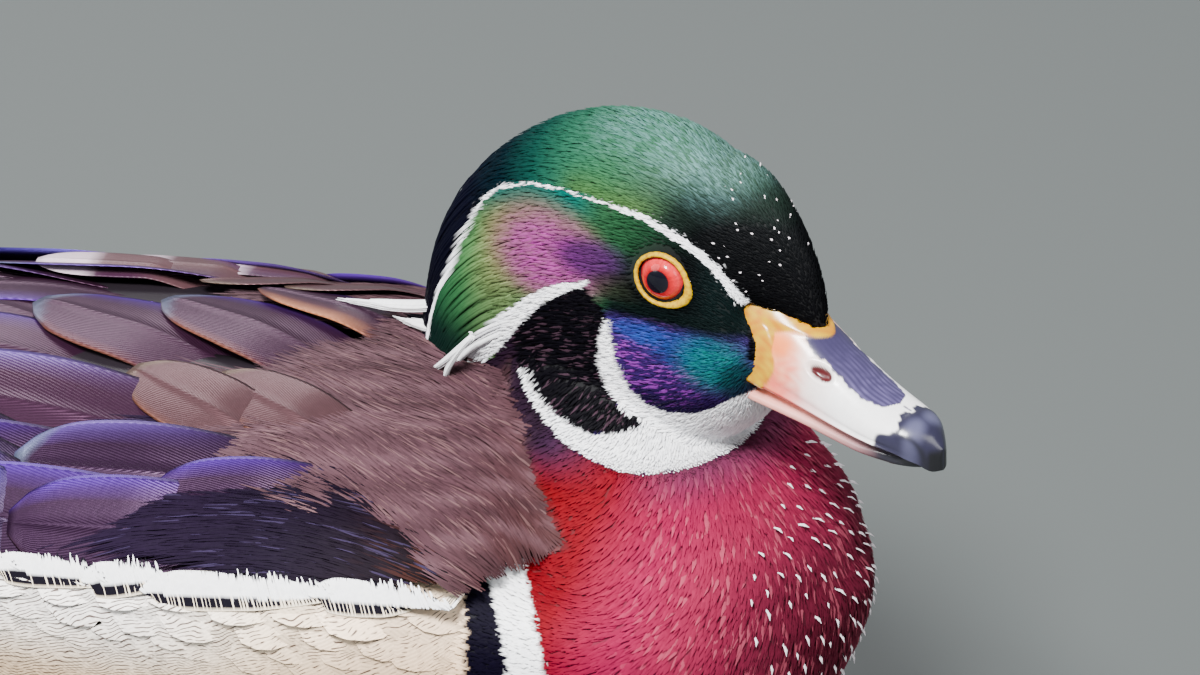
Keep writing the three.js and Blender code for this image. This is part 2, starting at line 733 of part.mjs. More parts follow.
// The point of a toe at share t of its length.
function toePoint(side, [turn, length], t) {
  const angle = (FOOT.outTurn + turn) * DEG;
  const ahead = t * length + 1.5;
  return new THREE.Vector3(
    LEG.toes[0] + ahead * Math.cos(angle),
    -side * (LEG.toes[1] + ahead * Math.sin(angle)),
    FOOT.height(t),
  );
}

function footSolid(side) {
  const toes = [...FOOT.toes, FOOT.hallux].map((toe) => {
    const line = steps(-0.05, 1, 5).map((t) => toePoint(side, toe, t).toArray());
    return tube(curveThrough(...line), FOOT.radius, 5, 6);
  });
  const { height, half, reach, scallop } = FOOT.web;
  const webs = [0, 1].map((i) => {
    const grid = (lift) =>
      steps(0.05, reach, 3).map((t) =>
        steps(0, 1, 4).map((share) => {
          const inward = 1 - scallop * Math.sin(Math.PI * share) * (t / reach);
          const from = toePoint(side, FOOT.toes[i], t * inward);
          return from.lerp(toePoint(side, FOOT.toes[i + 1], t * inward), share).setZ(height + lift);
        }),
      );
    return sheet(grid(half), grid(-half));
  });
  return joined([...toes, ...webs]);
}

// The model

function geometryOf(solid) {
  const mesh = solid.getMesh();
  const positions = new Float32Array(mesh.numVert * 3);
  for (let i = 0; i < mesh.numVert; i++)
    for (let k = 0; k < 3; k++) positions[3 * i + k] = mesh.vertProperties[mesh.numProp * i + k];
  const geometry = new THREE.BufferGeometry();
  geometry.setAttribute("position", new THREE.BufferAttribute(positions, 3));
  geometry.setIndex(new THREE.BufferAttribute(new Uint32Array(mesh.triVerts), 1));
  geometry.computeVertexNormals();
  return geometry;
}

const look = (color, roughness, metalness = 0) => new THREE.MeshStandardMaterial({ color, roughness, metalness });
const LOOKS = {
  torso: look(0xb98a5e, 0.7),
  head: look(0x1f6b4a, 0.4, 0.3),
  neck: look(0x7a2a30, 0.7),
  bill: look(0xe9d8cf, 0.35),
  eye: look(0xc8321e, 0.1),
  wing: look(0x38304a, 0.45, 0.2),
  tail: look(0x1d2126, 0.5),
  leg: look(0xa0792c, 0.5),
};

const duck = new THREE.Group();
duck.name = "wood_duck";

function add(name, solid, material) {
  const mesh = new THREE.Mesh(geometryOf(largestBody(solid)), material);
  mesh.name = name;
  duck.add(mesh);
}

// The torso, neck and head are one flesh, parted by two thin cuts.
const flesh = [torsoSolid(), neckSolid(), placed(skullSolid()), placed(foreheadSolid())];
const body = floorCut(joined(flesh));
const bodyClear = clearOf(flesh);
const flankVanes = SIDES.flatMap(([side]) => vaneRow(torsoPoint, side, FLANK_ROW));
const crestVanes = crestFeathers().map(placed);
const lids = SIDES.map(([side]) => placed(lidSolid(side)));
const sockets = SIDES.map(([side]) => placed(ballOf(side, EYE.socket)));

const torso = joined([body.intersect(belowPlane(NECK.base)), ...flankVanes]);
const neck = cutBy(body, [belowPlane(NECK.base, GAP)]).intersect(belowPlane(NECK.top));
const skull = cutBy(body, [belowPlane(NECK.base, GAP), belowPlane(NECK.top, GAP)]);
const crest = cutBy(joined(crestVanes), [clearOf(flesh.slice(0, 2)), belowPlane(NECK.top, GAP)]);
const head = cutBy(joined([skull, crest, ...lids]), sockets);
const lowerBill = cutBy(placed(lowerBillSolid()), [bodyClear]);
const billCuts = [nostril(RIGHT), nostril(LEFT), grown(lowerBillSolid())];
const upperBill = cutBy(placed(cutBy(upperBillSolid(), billCuts)), [bodyClear]);
const feathersClear = clearOf([...flankVanes, ...crestVanes]);

add("torso", torso, LOOKS.torso);
add("neck", neck, LOOKS.neck);
add("head", head, LOOKS.head);
add("bill_upper", upperBill, LOOKS.bill);
add("bill_lower", lowerBill, LOOKS.bill);
for (const [side, name] of SIDES) {
  add(`eye_${name}`, placed(ballOf(side, EYE.radius)), LOOKS.eye);
  const wing = joined([wingCore(side), ...wingFeathers(side)]);
  add(`wing_${name}`, cutBy(wing, [bodyClear, feathersClear]), LOOKS.wing);
  add(`leg_${name}`, floorCut(cutBy(legSolid(side), [bodyClear])), LOOKS.leg);
  const legClear = grown(shankSolid(side));
  add(`foot_${name}`, floorCut(cutBy(footSolid(side), [legClear, bodyClear])), LOOKS.leg);
}
const tail = joined([tailCore(), ...rectrices(), ...tailCoverts(UPPER_COVERTS), ...tailCoverts(UNDER_COVERTS)]);
add("tail", cutBy(tail, [bodyClear]), LOOKS.tail);

export default duck;
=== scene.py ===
# A drake wood duck at life size, afloat with its head turned to its right, dressed over its solids.
# Shapes are worked out in millimetres, +X towards the breast and +Z up, and their meshes are made in metres.
import math

import bpy
import numpy as np
from mathutils import Matrix, Vector
from mathutils.bvhtree import BVHTree
from mathutils.kdtree import KDTree


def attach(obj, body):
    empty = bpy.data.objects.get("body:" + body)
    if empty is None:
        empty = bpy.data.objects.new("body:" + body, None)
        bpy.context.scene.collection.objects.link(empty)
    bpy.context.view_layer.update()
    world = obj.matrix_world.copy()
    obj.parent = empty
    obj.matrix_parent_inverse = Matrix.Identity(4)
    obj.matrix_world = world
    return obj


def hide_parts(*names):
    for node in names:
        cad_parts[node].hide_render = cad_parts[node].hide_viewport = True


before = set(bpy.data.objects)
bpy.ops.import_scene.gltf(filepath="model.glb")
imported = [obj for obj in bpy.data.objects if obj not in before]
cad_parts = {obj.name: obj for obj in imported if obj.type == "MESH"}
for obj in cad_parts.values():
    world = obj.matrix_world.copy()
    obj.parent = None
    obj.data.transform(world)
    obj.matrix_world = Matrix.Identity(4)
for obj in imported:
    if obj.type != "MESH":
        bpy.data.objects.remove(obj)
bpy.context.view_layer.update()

MM = 0.001
RIGHT, LEFT = 1, -1
SIDES = {RIGHT: "right", LEFT: "left"}
rng = np.random.default_rng(11)


# Curves and numbers

def smooth(value, low, high):
    """0 below low, 1 above high, and a soft step between them."""
    share = np.clip((value - low) / (high - low), 0, 1)
    return share * share * (3 - 2 * share)


def mix(a, b, share):
    return a + (b - a) * share


def unit(vectors):
    return vectors / np.maximum(np.linalg.norm(vectors, axis=-1, keepdims=True), 1e-9)


def profile(*knots):
    """A smooth curve through (position, value) knots, held level beyond them."""
    at, value = np.array(knots, float).T
    slopes = np.gradient(value, at) if len(knots) < 3 else np.concatenate([
        [(value[1] - value[0]) / (at[1] - at[0])],
        (value[2:] - value[:-2]) / (at[2:] - at[:-2]),
        [(value[-1] - value[-2]) / (at[-1] - at[-2])],
    ])

    def read(position):
        i = np.clip(np.searchsorted(at, position) - 1, 0, len(at) - 2)
        step = at[i + 1] - at[i]
        t = np.clip((position - at[i]) / step, 0, 1)
        rise = 3 * t ** 2 - 2 * t ** 3
        leave = t * (1 - t) ** 2 * step * slopes[i]
        arrive = t ** 2 * (t - 1) * step * slopes[i + 1]
        return mix(value[i], value[i + 1], rise) + leave + arrive

    return read


def spline(*points):
    """A smooth plane curve through points that share its parameter evenly, from 0 to 1."""
    knots = np.array(points, float)
    last = len(knots) - 1

    def read(t):
        place = np.clip(np.asarray(t, float), 0, 1) * last
        i = np.minimum(place.astype(int), last - 1)
        w = (place - i)[..., None]
        before, start = knots[np.maximum(i - 1, 0)], knots[i]
        end, after = knots[i + 1], knots[np.minimum(i + 2, last)]
        leave, arrive = (end - before) / 2, (after - start) / 2
        return (
            start + leave * w
            + (3 * (end - start) - 2 * leave - arrive) * w ** 2
            + (2 * (start - end) + leave + arrive) * w ** 3
        )

    return read


def rounded_off(position, start, end):
    """1 along a body, falling to 0 at its end as a quarter circle does."""
    share = np.clip((position - start) / (end - start), 0, 1)
    return np.sqrt(1 - share ** 2)


def signed_power(value, power):
    return np.sign(value) * np.abs(value) ** power


def egg_point(x, mid, up, down, half, fullness, degrees, lift):
    """A point of an egg-shaped section across x: 0 degrees is its top and 90 the bird's right side."""
    side, height = np.sin(np.radians(degrees)), np.cos(np.radians(degrees))
    reach = np.where(height > 0, up, down) + lift
    across = -(half + lift) * signed_power(side, 2 / fullness)
    z = mid + reach * signed_power(height, 2 / fullness)
    return np.stack(np.broadcast_arrays(x, across, z), -1)


# Forms of the body, the same as in the solids

TORSO_REAR, TORSO_FRONT = -158, 125.5
torso_mid = profile((-158, 70), (-110, 62), (-50, 56), (20, 54), (80, 53), (125.5, 56))
torso_up = profile((-158, 12), (-110, 23), (-60, 31), (-10, 35.5), (30, 36.5), (60, 33.5), (95, 27), (125.5, 24))
torso_down = profile((-158, 13), (-125, 25), (-95, 39), (-60, 51.5), (-20, 56.3), (30, 56), (75, 51), (125.5, 42))
torso_half = profile((-158, 17), (-125, 35), (-90, 50), (-45, 62), (0, 66), (40, 65.5), (80, 59), (125.5, 50))


def torso_point(x, degrees, lift=0.0):
    end = np.minimum(rounded_off(x, 78, TORSO_FRONT), rounded_off(-x, 140, -TORSO_REAR))
    return egg_point(
        x, torso_mid(x), torso_up(x) * end, torso_down(x) * end, torso_half(x) * end, 2.3, degrees, lift,
    )


mantle_mid = profile((-222, 86), (-160, 77), (-110, 67), (-60, 60), (0, 56), (75, 56))
mantle_up = profile((-222, 8), (-160, 15), (-110, 26), (-60, 36), (-10, 41), (30, 41), (75, 33))
mantle_half = profile((-222, 17), (-160, 39), (-110, 55), (-60, 66), (-10, 70), (30, 69), (75, 57))


def mantle_point(x, degrees, lift=0.0):
    up = mantle_up(x)
    return egg_point(x, mantle_mid(x), up, up, mantle_half(x), 2.2, degrees, lift)


NECK_LOW, NECK_HIGH = 52, 112
neck_x = profile((52, 77), (75, 77), (95, 74), (112, 70))
neck_y = profile((52, 0), (80, 0), (97, 2), (112, 5))
neck_long = profile((52, 48), (66, 46.5), (76, 40.7), (86, 34), (92, 29.5), (103, 26), (112, 23))
neck_half = profile((52, 54), (66, 52), (80, 43), (92, 33), (103, 26), (112, 23))
neck_yaw = profile((52, 0), (80, -6), (112, -25))


def neck_point(z, degrees, lift=0.0):
    angle, yaw = np.radians(degrees), np.radians(neck_yaw(z))
    along = (neck_long(z) + lift) * np.cos(angle)
    across = (neck_half(z) + lift) * np.sin(angle)
    x = neck_x(z) + along * np.cos(yaw) - across * np.sin(yaw)
    y = neck_y(z) + along * np.sin(yaw) + across * np.cos(yaw)
    return np.stack(np.broadcast_arrays(x, y, z), -1)


# Head, in its own frame: x forward and z up from the point midway between the eyes

HEAD_AT = np.array([94.4, -10.6, 131.3])
HEAD_YAW, HEAD_PITCH, HEAD_ROLL = -25, 2.5, 3
HEAD_TURN = np.array(
    Matrix.Rotation(math.radians(HEAD_YAW), 3, "Z")
    @ Matrix.Rotation(math.radians(HEAD_PITCH), 3, "Y")
    @ Matrix.Rotation(math.radians(HEAD_ROLL), 3, "X")
)


def from_head(points):
    return points @ HEAD_TURN.T + HEAD_AT


def to_head(points):
    return (points - HEAD_AT) @ HEAD_TURN


crown_line = spline(
    (15, -2), (14, 13), (3, 24), (-14, 26.5), (-34, 21), (-52, 8.5), (-63, -8.5), (-67, -26), (-68, -43),
)
throat_line = spline(
    (20, -21), (15, -32), (6, -40), (-4, -45), (-13, -47.5), (-21, -48.5), (-29, -49), (-37, -49), (-45, -49),
)
head_half = profile((0, 9.4), (0.1, 12.8), (0.22, 15.6), (0.36, 18.6), (0.5, 21), (0.66, 21), (0.82, 18.5), (1, 14))
head_widest = profile((0, 0.35), (0.2, 0.36), (0.5, 0.42), (1, 0.5))
HEAD_FULLNESS = 2.15


def skull_point(t, degrees, lift=0.0):
    """A point of the head at share t of the way from bill to hind neck, in the head's frame."""
    t, degrees = np.broadcast_arrays(np.asarray(t, float), degrees)
    top, bottom = crown_line(t), throat_line(t)
    up = top - bottom
    height = np.linalg.norm(up, axis=-1)
    up = up / height[..., None]
    widest = head_widest(t)
    side, rise = np.sin(np.radians(degrees)), np.cos(np.radians(degrees))
    power = 2 / HEAD_FULLNESS
    reach = height * np.where(rise > 0, 1 - widest, widest) + lift
    along = bottom + up * (height * widest + reach * signed_power(rise, power))[..., None]
    across = -(head_half(t) + lift) * signed_power(side, power)
    return np.stack([along[..., 0], across, along[..., 1]], -1)


FOREHEAD_BACK, FOREHEAD_TIP = -8, 31.5
forehead_top = profile((-8, 19), (0, 23.3), (6, 23.4), (14, 20.4), (21, 15.5), (26, 9.5), (29.5, 2), (31.5, -6))
forehead_bottom = profile((-8, 6), (0, 2), (10, -3), (18, -7), (25, -9), (31.5, -9.5))
forehead_half = profile((-8, 8), (0, 11.5), (8, 12.4), (14, 10.8), (20, 8), (26, 5), (31.5, 3.2))


def forehead_point(x, degrees, lift=0.0):
    """A point of the feathered tongue that runs down on to the bill, in the head's frame."""
    end = rounded_off(x, 27, FOREHEAD_TIP)
    top, bottom = forehead_top(x), forehead_bottom(x)
    mid = mix(bottom, top, 0.35)
    return egg_point(
        x, mid, (top - mid) * mix(end, 1, 0.4), (mid - bottom) * end, forehead_half(x) * end, 2.1, degrees, lift,
    )


LORE_X, LORE_Y, LORE_Z = 14.0, 7.7, -15.3
LORE_LONG, LORE_WIDE, LORE_UP, LORE_DOWN = 9.2, 2.9, 10.8, 5.6


def lore_point(side):
    """Cheek feathering that runs forward over the side of the bill, as an egg, in the head's frame."""
    def point(x, degrees, lift=0.0):
        share = np.sqrt(np.maximum(1 - ((x - LORE_X) / LORE_LONG) ** 2, 0))
        across, rise = np.sin(np.radians(degrees)), np.cos(np.radians(degrees))
        y = -side * LORE_Y + (LORE_WIDE * share + lift) * across
        z = LORE_Z + (np.where(rise > 0, LORE_UP, LORE_DOWN) * share + lift) * rise
        return np.stack(np.broadcast_arrays(x, y, z), -1)
    return point


BILL_BASE, BILL_TIP = 10, 61.4
culmen = profile((10, 5), (20, -0.5), (31, -7.5), (37, -11.2), (43, -14.4), (49, -16.9), (55, -18.6), (59, -20.8), (61.4, -24))
bill_cut = profile((10, -20.5), (20, -21.2), (31, -22.2), (44, -23.9), (54, -25), (58, -27), (60, -28.6), (61.4, -28.4))
bill_half = profile((10, 9), (20, 9), (31, 8.7), (44, 8.3), (51, 7.7), (56, 6.2), (59, 4.4), (61.4, 3))


def bill_point(x, degrees, lift=0.0):
    end = rounded_off(x, 56, BILL_TIP)
    top, bottom = culmen(x), bill_cut(x)
    mid = mix(bottom, top, 0.14)
    return egg_point(x, mid, top - mid, mid - bottom, bill_half(x) * mix(end, 1, 0.15), 2.4, degrees, lift)


def crest_point(u, degrees, lift=0.0):
    """The back of the head, standing off a little more towards its foot as the crest hangs over the nape."""
    share = np.clip((u - 0.74) / 0.26, 0, 1)
    point = skull_point(np.minimum(u, 1.0), degrees, lift + 0.4 * share)
    point = point + np.stack(np.broadcast_arrays(-1.0 * share ** 2, share * 0, share * 0), -1)
    return from_head(point)


# Meshes

def mesh_of(name, points, faces, smooth_faces=True):
    """An object in metres from points in millimetres."""
    mesh = bpy.data.meshes.new(name)
    mesh.from_pydata((np.asarray(points) * MM).tolist(), [], [list(map(int, f)) for f in faces])
    mesh.update()
    mesh.polygons.foreach_set("use_smooth", np.full(len(mesh.polygons), smooth_faces))
    obj = bpy.data.objects.new(name, mesh)
    bpy.context.scene.collection.objects.link(obj)
    return obj


def quad_mesh(name, points, quads, caps=()):
    """An object in metres from an array of points and an array of quads, with a few larger faces as caps."""
    mesh = bpy.data.meshes.new(name)
    counts = [4] * len(quads)
    loops = [quads.ravel()]
    for cap in caps:
        counts += [cap.shape[1]] * len(cap)
        loops.append(cap.ravel())
    loops = np.concatenate(loops)
    starts = np.concatenate([[0], np.cumsum(counts)[:-1]])
    mesh.vertices.add(len(points))
    mesh.vertices.foreach_set("co", (points * MM).astype(np.float32).ravel())
    mesh.loops.add(len(loops))
    mesh.loops.foreach_set("vertex_index", loops.astype(np.int32))
    mesh.polygons.add(len(counts))
    mesh.polygons.foreach_set("loop_start", starts.astype(np.int32))
    mesh.polygons.foreach_set("use_smooth", np.ones(len(counts), bool))
    mesh.update(calc_edges=True)
    obj = bpy.data.objects.new(name, mesh)
    bpy.context.scene.collection.objects.link(obj)
    return obj


def loft(rings):
    """Points and faces of a closed body over rings of as many points each."""
    rings = np.asarray(rings, float)
    rows, count = rings.shape[:2]
    points = np.concatenate([rings.reshape(-1, 3), rings[0].mean(0)[None], rings[-1].mean(0)[None]])
    faces = []
    for r in range(rows - 1):
        for i in range(count):
            j = (i + 1) % count
            faces.append((r * count + i, r * count + j, (r + 1) * count + j, (r + 1) * count + i))
    for i in range(count):
        j = (i + 1) % count
        faces.append((rows * count, j, i))
        faces.append((rows * count + 1, (rows - 1) * count + i, (rows - 1) * count + j))
    return points, faces


def slab(top, bottom):
    """Points and faces of a closed body between two sheets of as many rows and columns."""
    rows, columns = top.shape[:2]
    points = np.concatenate([top.reshape(-1, 3), bottom.reshape(-1, 3)])
    grid = np.arange(rows * columns).reshape(rows, columns)
    faces = []
    for sheet, turned in ((grid, False), (grid + rows * columns, True)):
        quads = np.stack([sheet[:-1, :-1], sheet[:-1, 1:], sheet[1:, 1:], sheet[1:, :-1]], -1).reshape(-1, 4)
        faces += [tuple(q[::-1]) if turned else tuple(q) for q in quads]
    rim = np.concatenate([grid[0], grid[1:, -1], grid[-1, -2::-1], grid[-2:0:-1, 0]])
    for a, b in zip(rim, np.roll(rim, -1)):
        faces.append((a, a + rows * columns, b + rows * columns, b))
    return points, faces


def surface_rings(surface, stations, sides, lift=0.0):
    degrees = np.arange(sides) * 360 / sides
    return np.array([surface(np.full(sides, float(s)), degrees, lift) for s in stations])


def soft_steps(start, end, count):
    """Numbers from start to end, closer together towards both."""
    return mix(start, end, (1 - np.cos(np.pi * np.linspace(0, 1, count))) / 2)


def apply_modifiers(obj):
    depsgraph = bpy.context.evaluated_depsgraph_get()
    mesh = bpy.data.meshes.new_from_object(obj.evaluated_get(depsgraph))
    old = obj.data
    obj.modifiers.clear()
    obj.data = mesh
    bpy.data.meshes.remove(old)


def outward(points, faces):
    """The faces turned so that the closed body's volume counts as positive."""
    volume = 0.0
    for face in faces:
        a = points[face[0]]
        for k in range(1, len(face) - 1):
            volume += np.dot(a, np.cross(points[face[k]], points[face[k + 1]]))
    return faces if volume > 0 else [tuple(reversed(f)) for f in faces]


# Skin, one surface over torso, neck and head

BODY_COAT, NECK_COAT, HEAD_COAT, FOREHEAD_COAT = 2.2, 2.0, 1.1, 0.9
VOXEL = 1.2


def build_skin():
    head = lambda t, degrees, lift: from_head(skull_point(t, degrees, lift))
    tongue = lambda x, degrees, lift: from_head(forehead_point(x, degrees, lift))
    lofts = [
        loft(surface_rings(torso_point, soft_steps(TORSO_REAR + 0.1, TORSO_FRONT - 0.1, 90), 96, -BODY_COAT)),
        loft(surface_rings(neck_point, np.linspace(NECK_LOW, NECK_HIGH, 24), 80, -NECK_COAT)),
        loft(surface_rings(head, soft_steps(0, 1, 60), 80, -HEAD_COAT)),
        loft(surface_rings(tongue, np.linspace(FOREHEAD_BACK, FOREHEAD_TIP - 0.05, 36), 48, -FOREHEAD_COAT)),
    ]
    for side in SIDES:
        lore = lambda x, degrees, lift, form=lore_point(side): from_head(form(x, degrees, lift))
        lofts.append(loft(surface_rings(lore, soft_steps(LORE_X - LORE_LONG, LORE_X + LORE_LONG, 20), 32, -0.5)))
    points, faces = [], []
    for more, its_faces in lofts:
        shift = sum(len(p) for p in points)
        faces += [tuple(i + shift for i in face) for face in outward(more, its_faces)]
        points.append(more)
    points = np.concatenate(points)
    points[:, 2] = np.maximum(points[:, 2], BODY_COAT)
    skin = mesh_of("skin", points, faces)
    remesh = skin.modifiers.new("one surface", "REMESH")
    remesh.mode, remesh.voxel_size, remesh.use_smooth_shade = "VOXEL", VOXEL * MM, True
    relax = skin.modifiers.new("relax", "SMOOTH")
    relax.factor, relax.iterations = 0.5, 6
    apply_modifiers(skin)
    return skin


skin = build_skin()


def points_of(obj):
    points = np.zeros(len(obj.data.vertices) * 3, np.float32)
    obj.data.vertices.foreach_get("co", points)
    return points.reshape(-1, 3).astype(float) / MM


class Ground:
    """A surface that feathers lie on, with its nearest point and smooth normal."""

    def __init__(self, obj):
        mesh = obj.data
        self.points = points_of(obj)
        mesh.calc_loop_triangles()
        corners = np.zeros(len(mesh.loop_triangles) * 3, np.int32)
        mesh.loop_triangles.foreach_get("vertices", corners)
        self.triangles = corners.reshape(-1, 3)
        normals = np.zeros(len(mesh.vertices) * 3, np.float32)
        mesh.vertex_normals.foreach_get("vector", normals)
        self.normals = normals.reshape(-1, 3).astype(float)
        self.tree = BVHTree.FromPolygons(self.points.tolist(), self.triangles.tolist())

    def nearest(self, points):
        found = np.zeros((len(points), 3))
        index = np.zeros(len(points), int)
        for i, p in enumerate(points.tolist()):
            place, _, face, _ = self.tree.find_nearest(p)
            found[i] = place
            index[i] = face
        return found, unit(self.normals[self.triangles[index]].mean(1))

    def scatter(self, count, keep):
        """Random points spread evenly over the part of the surface where keep, a share from 0 to 1, lets them."""
        a, b, c = (self.points[self.triangles[:, k]] for k in range(3))
        area = np.linalg.norm(np.cross(b - a, c - a), axis=1) / 2
        weight = area * keep((a + b + c) / 3)
        pick = rng.choice(len(area), count, p=weight / weight.sum())
        u, v = rng.random(count), rng.random(count)
        over = u + v > 1
        u[over], v[over] = 1 - u[over], 1 - v[over]
        return a[pick] + (b - a)[pick] * u[:, None] + (c - a)[pick] * v[:, None]


ground = Ground(skin)


def thinned(points, spacing):
    """Points kept so that no two lie closer than the spacing, a number for each point."""
    cell = float(np.max(spacing))
    grid, kept = {}, []
    cells = np.floor(points / cell).astype(int).tolist()
    places = points.tolist()
    gaps = (np.asarray(spacing) ** 2).tolist()
    for i, (p, (cx, cy, cz)) in enumerate(zip(places, cells)):
        close = False
        for dx in (-1, 0, 1):
            for dy in (-1, 0, 1):
                for dz in (-1, 0, 1):
                    for q in grid.get((cx + dx, cy + dy, cz + dz), ()):
                        if (p[0] - q[0]) ** 2 + (p[1] - q[1]) ** 2 + (p[2] - q[2]) ** 2 < gaps[i]:
                            close = True
                            break
                    if close:
                        break
                if close:
                    break
            if close:
                break
        if not close:
            grid.setdefault((cx, cy, cz), []).append(p)
            kept.append(i)
    return np.array(kept)


# Lie of the coat, read off the forms: a direction, a region and a place on that region's unwrap

TORSO_ZONE, NECK_ZONE, HEAD_ZONE, FOREHEAD_ZONE = range(4)


def guide_samples():
    samples = []
    specs = [
        (TORSO_ZONE, torso_point, TORSO_REAR + 2, TORSO_FRONT - 1, -1, 110, 90, BODY_COAT),
        (NECK_ZONE, neck_point, 70, NECK_HIGH, -1, 16, 80, NECK_COAT),
        (HEAD_ZONE, lambda t, d, lift: from_head(skull_point(t, d, lift)), 0.0, 1.0, 1, 70, 80, HEAD_COAT),
        (
            FOREHEAD_ZONE, lambda x, d, lift: from_head(forehead_point(x, d, lift)),
            FOREHEAD_BACK, FOREHEAD_TIP - 0.5, -1, 30, 40, FOREHEAD_COAT,
        ),
    ]
    for zone, surface, low, high, sense, rows, sides, depth in specs:
        stations = np.linspace(low, high, rows)
        rings = surface_rings(surface, stations, sides, -depth)
        along = np.gradient(rings, axis=0) * sense
        share = np.repeat(np.linspace(0, 1, rows)[:, None], sides, 1)
        turn = np.repeat((np.arange(sides) / sides)[None], rows, 0)
        samples.append((
            rings.reshape(-1, 3), unit(along.reshape(-1, 3)), np.full(rows * sides, zone),
            np.stack([turn.ravel(), share.ravel()], -1),
        ))
    return [np.concatenate(column) for column in zip(*samples)]


guide_points, guide_along, guide_zone, guide_uv = guide_samples()
guide_tree = KDTree(len(guide_points))
for number, place in enumerate(guide_points.tolist()):
    guide_tree.insert(place, number)
guide_tree.balance()


def read_guides(points):
    """For each point its coat's direction, its zone and its place on that zone's unwrap."""
    index = np.array([guide_tree.find(p)[1] for p in points.tolist()])
    zone, along = guide_zone[index], guide_along[index]
    front = smooth(points[:, 0], 62, 118)
    body = np.stack([-np.ones(len(points)), np.zeros(len(points)), -1.5 * front * smooth(points[:, 2], 10, 45)], -1)
    on_neck = (zone == NECK_ZONE) & (points[:, 2] > 60)
    body[on_neck] += np.array([0.2, 0, -1.4]) * smooth(points[on_neck, 2], 60, 90)[:, None]
    is_body = (zone == TORSO_ZONE) | (zone == NECK_ZONE)
    along = np.where(is_body[:, None], unit(body), along)
    return along, zone, guide_uv[index]


# Colours, as eyes see them, turned to the linear values that shaders take

def linear(*rgb):
    value = np.array(rgb, float) / 255
    return np.where(value <= 0.04045, value / 12.92, ((value + 0.055) / 1.055) ** 2.4)


WHITE = linear(253, 253, 255)
BLACK = linear(9, 7, 14)
DEPTH = 0.62  # how far plumage that is not pale is deepened


def paint(base, colour, weight):
    weight = np.asarray(weight, float)
    return base + (colour - base) * weight[..., None]


def blob(x, z, centre, radii, soft=0.35):
    """1 inside an ellipse, fading to 0 outside it."""
    far = np.hypot((x - centre[0]) / radii[0], (z - centre[1]) / radii[1])
    return 1 - smooth(far, 1 - soft, 1 + soft)


def ramp(value, *stops):
    """Colours blended between (value, colour) stops."""
    at = [stop[0] for stop in stops]
    colours = np.array([stop[1] for stop in stops])
    return np.stack([np.interp(value, at, colours[:, k]) for k in range(3)], -1)


def inside(x, z, outline):
    """Whether each point lies inside a closed outline."""
    within = np.zeros(np.shape(x), bool)
    for (x0, z0), (x1, z1) in zip(outline, outline[1:] + outline[:1]):
        crosses = (z0 > z) != (z1 > z)
        edge = x0 + (z - z0) * (x1 - x0) / (z1 - z0 if z1 != z0 else 1e-9)
        within ^= crosses & (x < edge)
    return within


def along_line(x, z, line):
    """Distance from a line of points, and the share of the way along it."""
    best, share = np.full(np.shape(x), 1e9), np.zeros(np.shape(x))
    lengths = [math.dist(a, b) for a, b in zip(line, line[1:])]
    passed, total = 0.0, sum(lengths)
    for (x0, z0), (x1, z1), length in zip(line, line[1:], lengths):
        t = np.clip(((x - x0) * (x1 - x0) + (z - z0) * (z1 - z0)) / length ** 2, 0, 1)
        far = np.hypot(x - mix(x0, x1, t), z - mix(z0, z1, t))
        nearer = far < best
        best = np.where(nearer, far, best)
        share = np.where(nearer, (passed + t * length) / total, share)
        passed += length
    return best, share


# Markings of the head, in its own frame seen from the side

BROW = [
    (16.9, -2.2), (14.7, 1.0), (11.9, 4.3), (8.5, 6.8), (4.1, 8.6), (-0.8, 10.3), (-5.7, 11.5), (-15.3, 11.9),
    (-25.8, 11.5), (-34.3, 10.0), (-42.8, 6.2), (-47.0, 2.6), (-49.6, -2.2), (-51.2, -7.6), (-53.0, -13.2),
    (-55.8, -19.2), (-58.6, -26), (-61, -34), (-63, -42),
]
brow_width = profile(
    (0, 1.5), (0.12, 1.6), (0.22, 1.2), (0.3, 0.65), (0.4, 0.45), (0.5, 0.45), (0.58, 0.75), (0.66, 1.2), (0.76, 1.35), (1, 0.8),
)
STRIPE = [
    (-15.4, -4.2), (-21.6, -6.4), (-26.5, -9.2), (-30.1, -12.0), (-34.0, -15.4), (-38.0, -18.8), (-42.4, -23.4),
    (-47.5, -30.1), (-52, -37), (-49.5, -38.5), (-43.1, -32.2), (-38.2, -27.1), (-33.9, -22.0), (-31.2, -18.1),
    (-28.5, -14.9), (-25.1, -11.4), (-20.3, -8.0), (-16.2, -5.6),
]
BIB = [
    (-10.4, -10.4), (-9.2, -15.3), (-8.2, -19.5), (-7.0, -22.7), (-5.5, -25.8), (-2.2, -28.7), (1.8, -29.7),
    (7.2, -28.9), (11.7, -26.6), (15.8, -23.4), (18.3, -22.2), (30, -22.5), (30, -42), (10, -40.8), (3, -40.5),
    (-2.0, -39.5), (-8.5, -37.7), (-15.2, -35.5), (-21.4, -33.1), (-27.5, -30.5), (-31.2, -27.6),
    (-28.6, -27.7), (-24.2, -30.0), (-19.3, -31.8), (-13.8, -33.4), (-8.5, -34.4), (-5.2, -34.1), (-1.9, -33.0),
    (-5.6, -31.2), (-8.3, -29.2), (-11.1, -26.1), (-12.1, -21.6), (-12.1, -17.1), (-11.4, -12.5),
]
CHEEK_BACK = [
    (-16.5, -5.5), (-10.6, -10.0), (-12.0, -17.0), (-12.0, -21.6), (-11.0, -26.2), (-8.0, -29.5), (-1.9, -33.2),
    (-5.2, -34.4), (-13.8, -33.8), (-24.2, -30.5), (-30.4, -28.0), (-34.0, -29.0), (-39.0, -27.0), (-28.5, -14.5), (-20.3, -7.4),
]
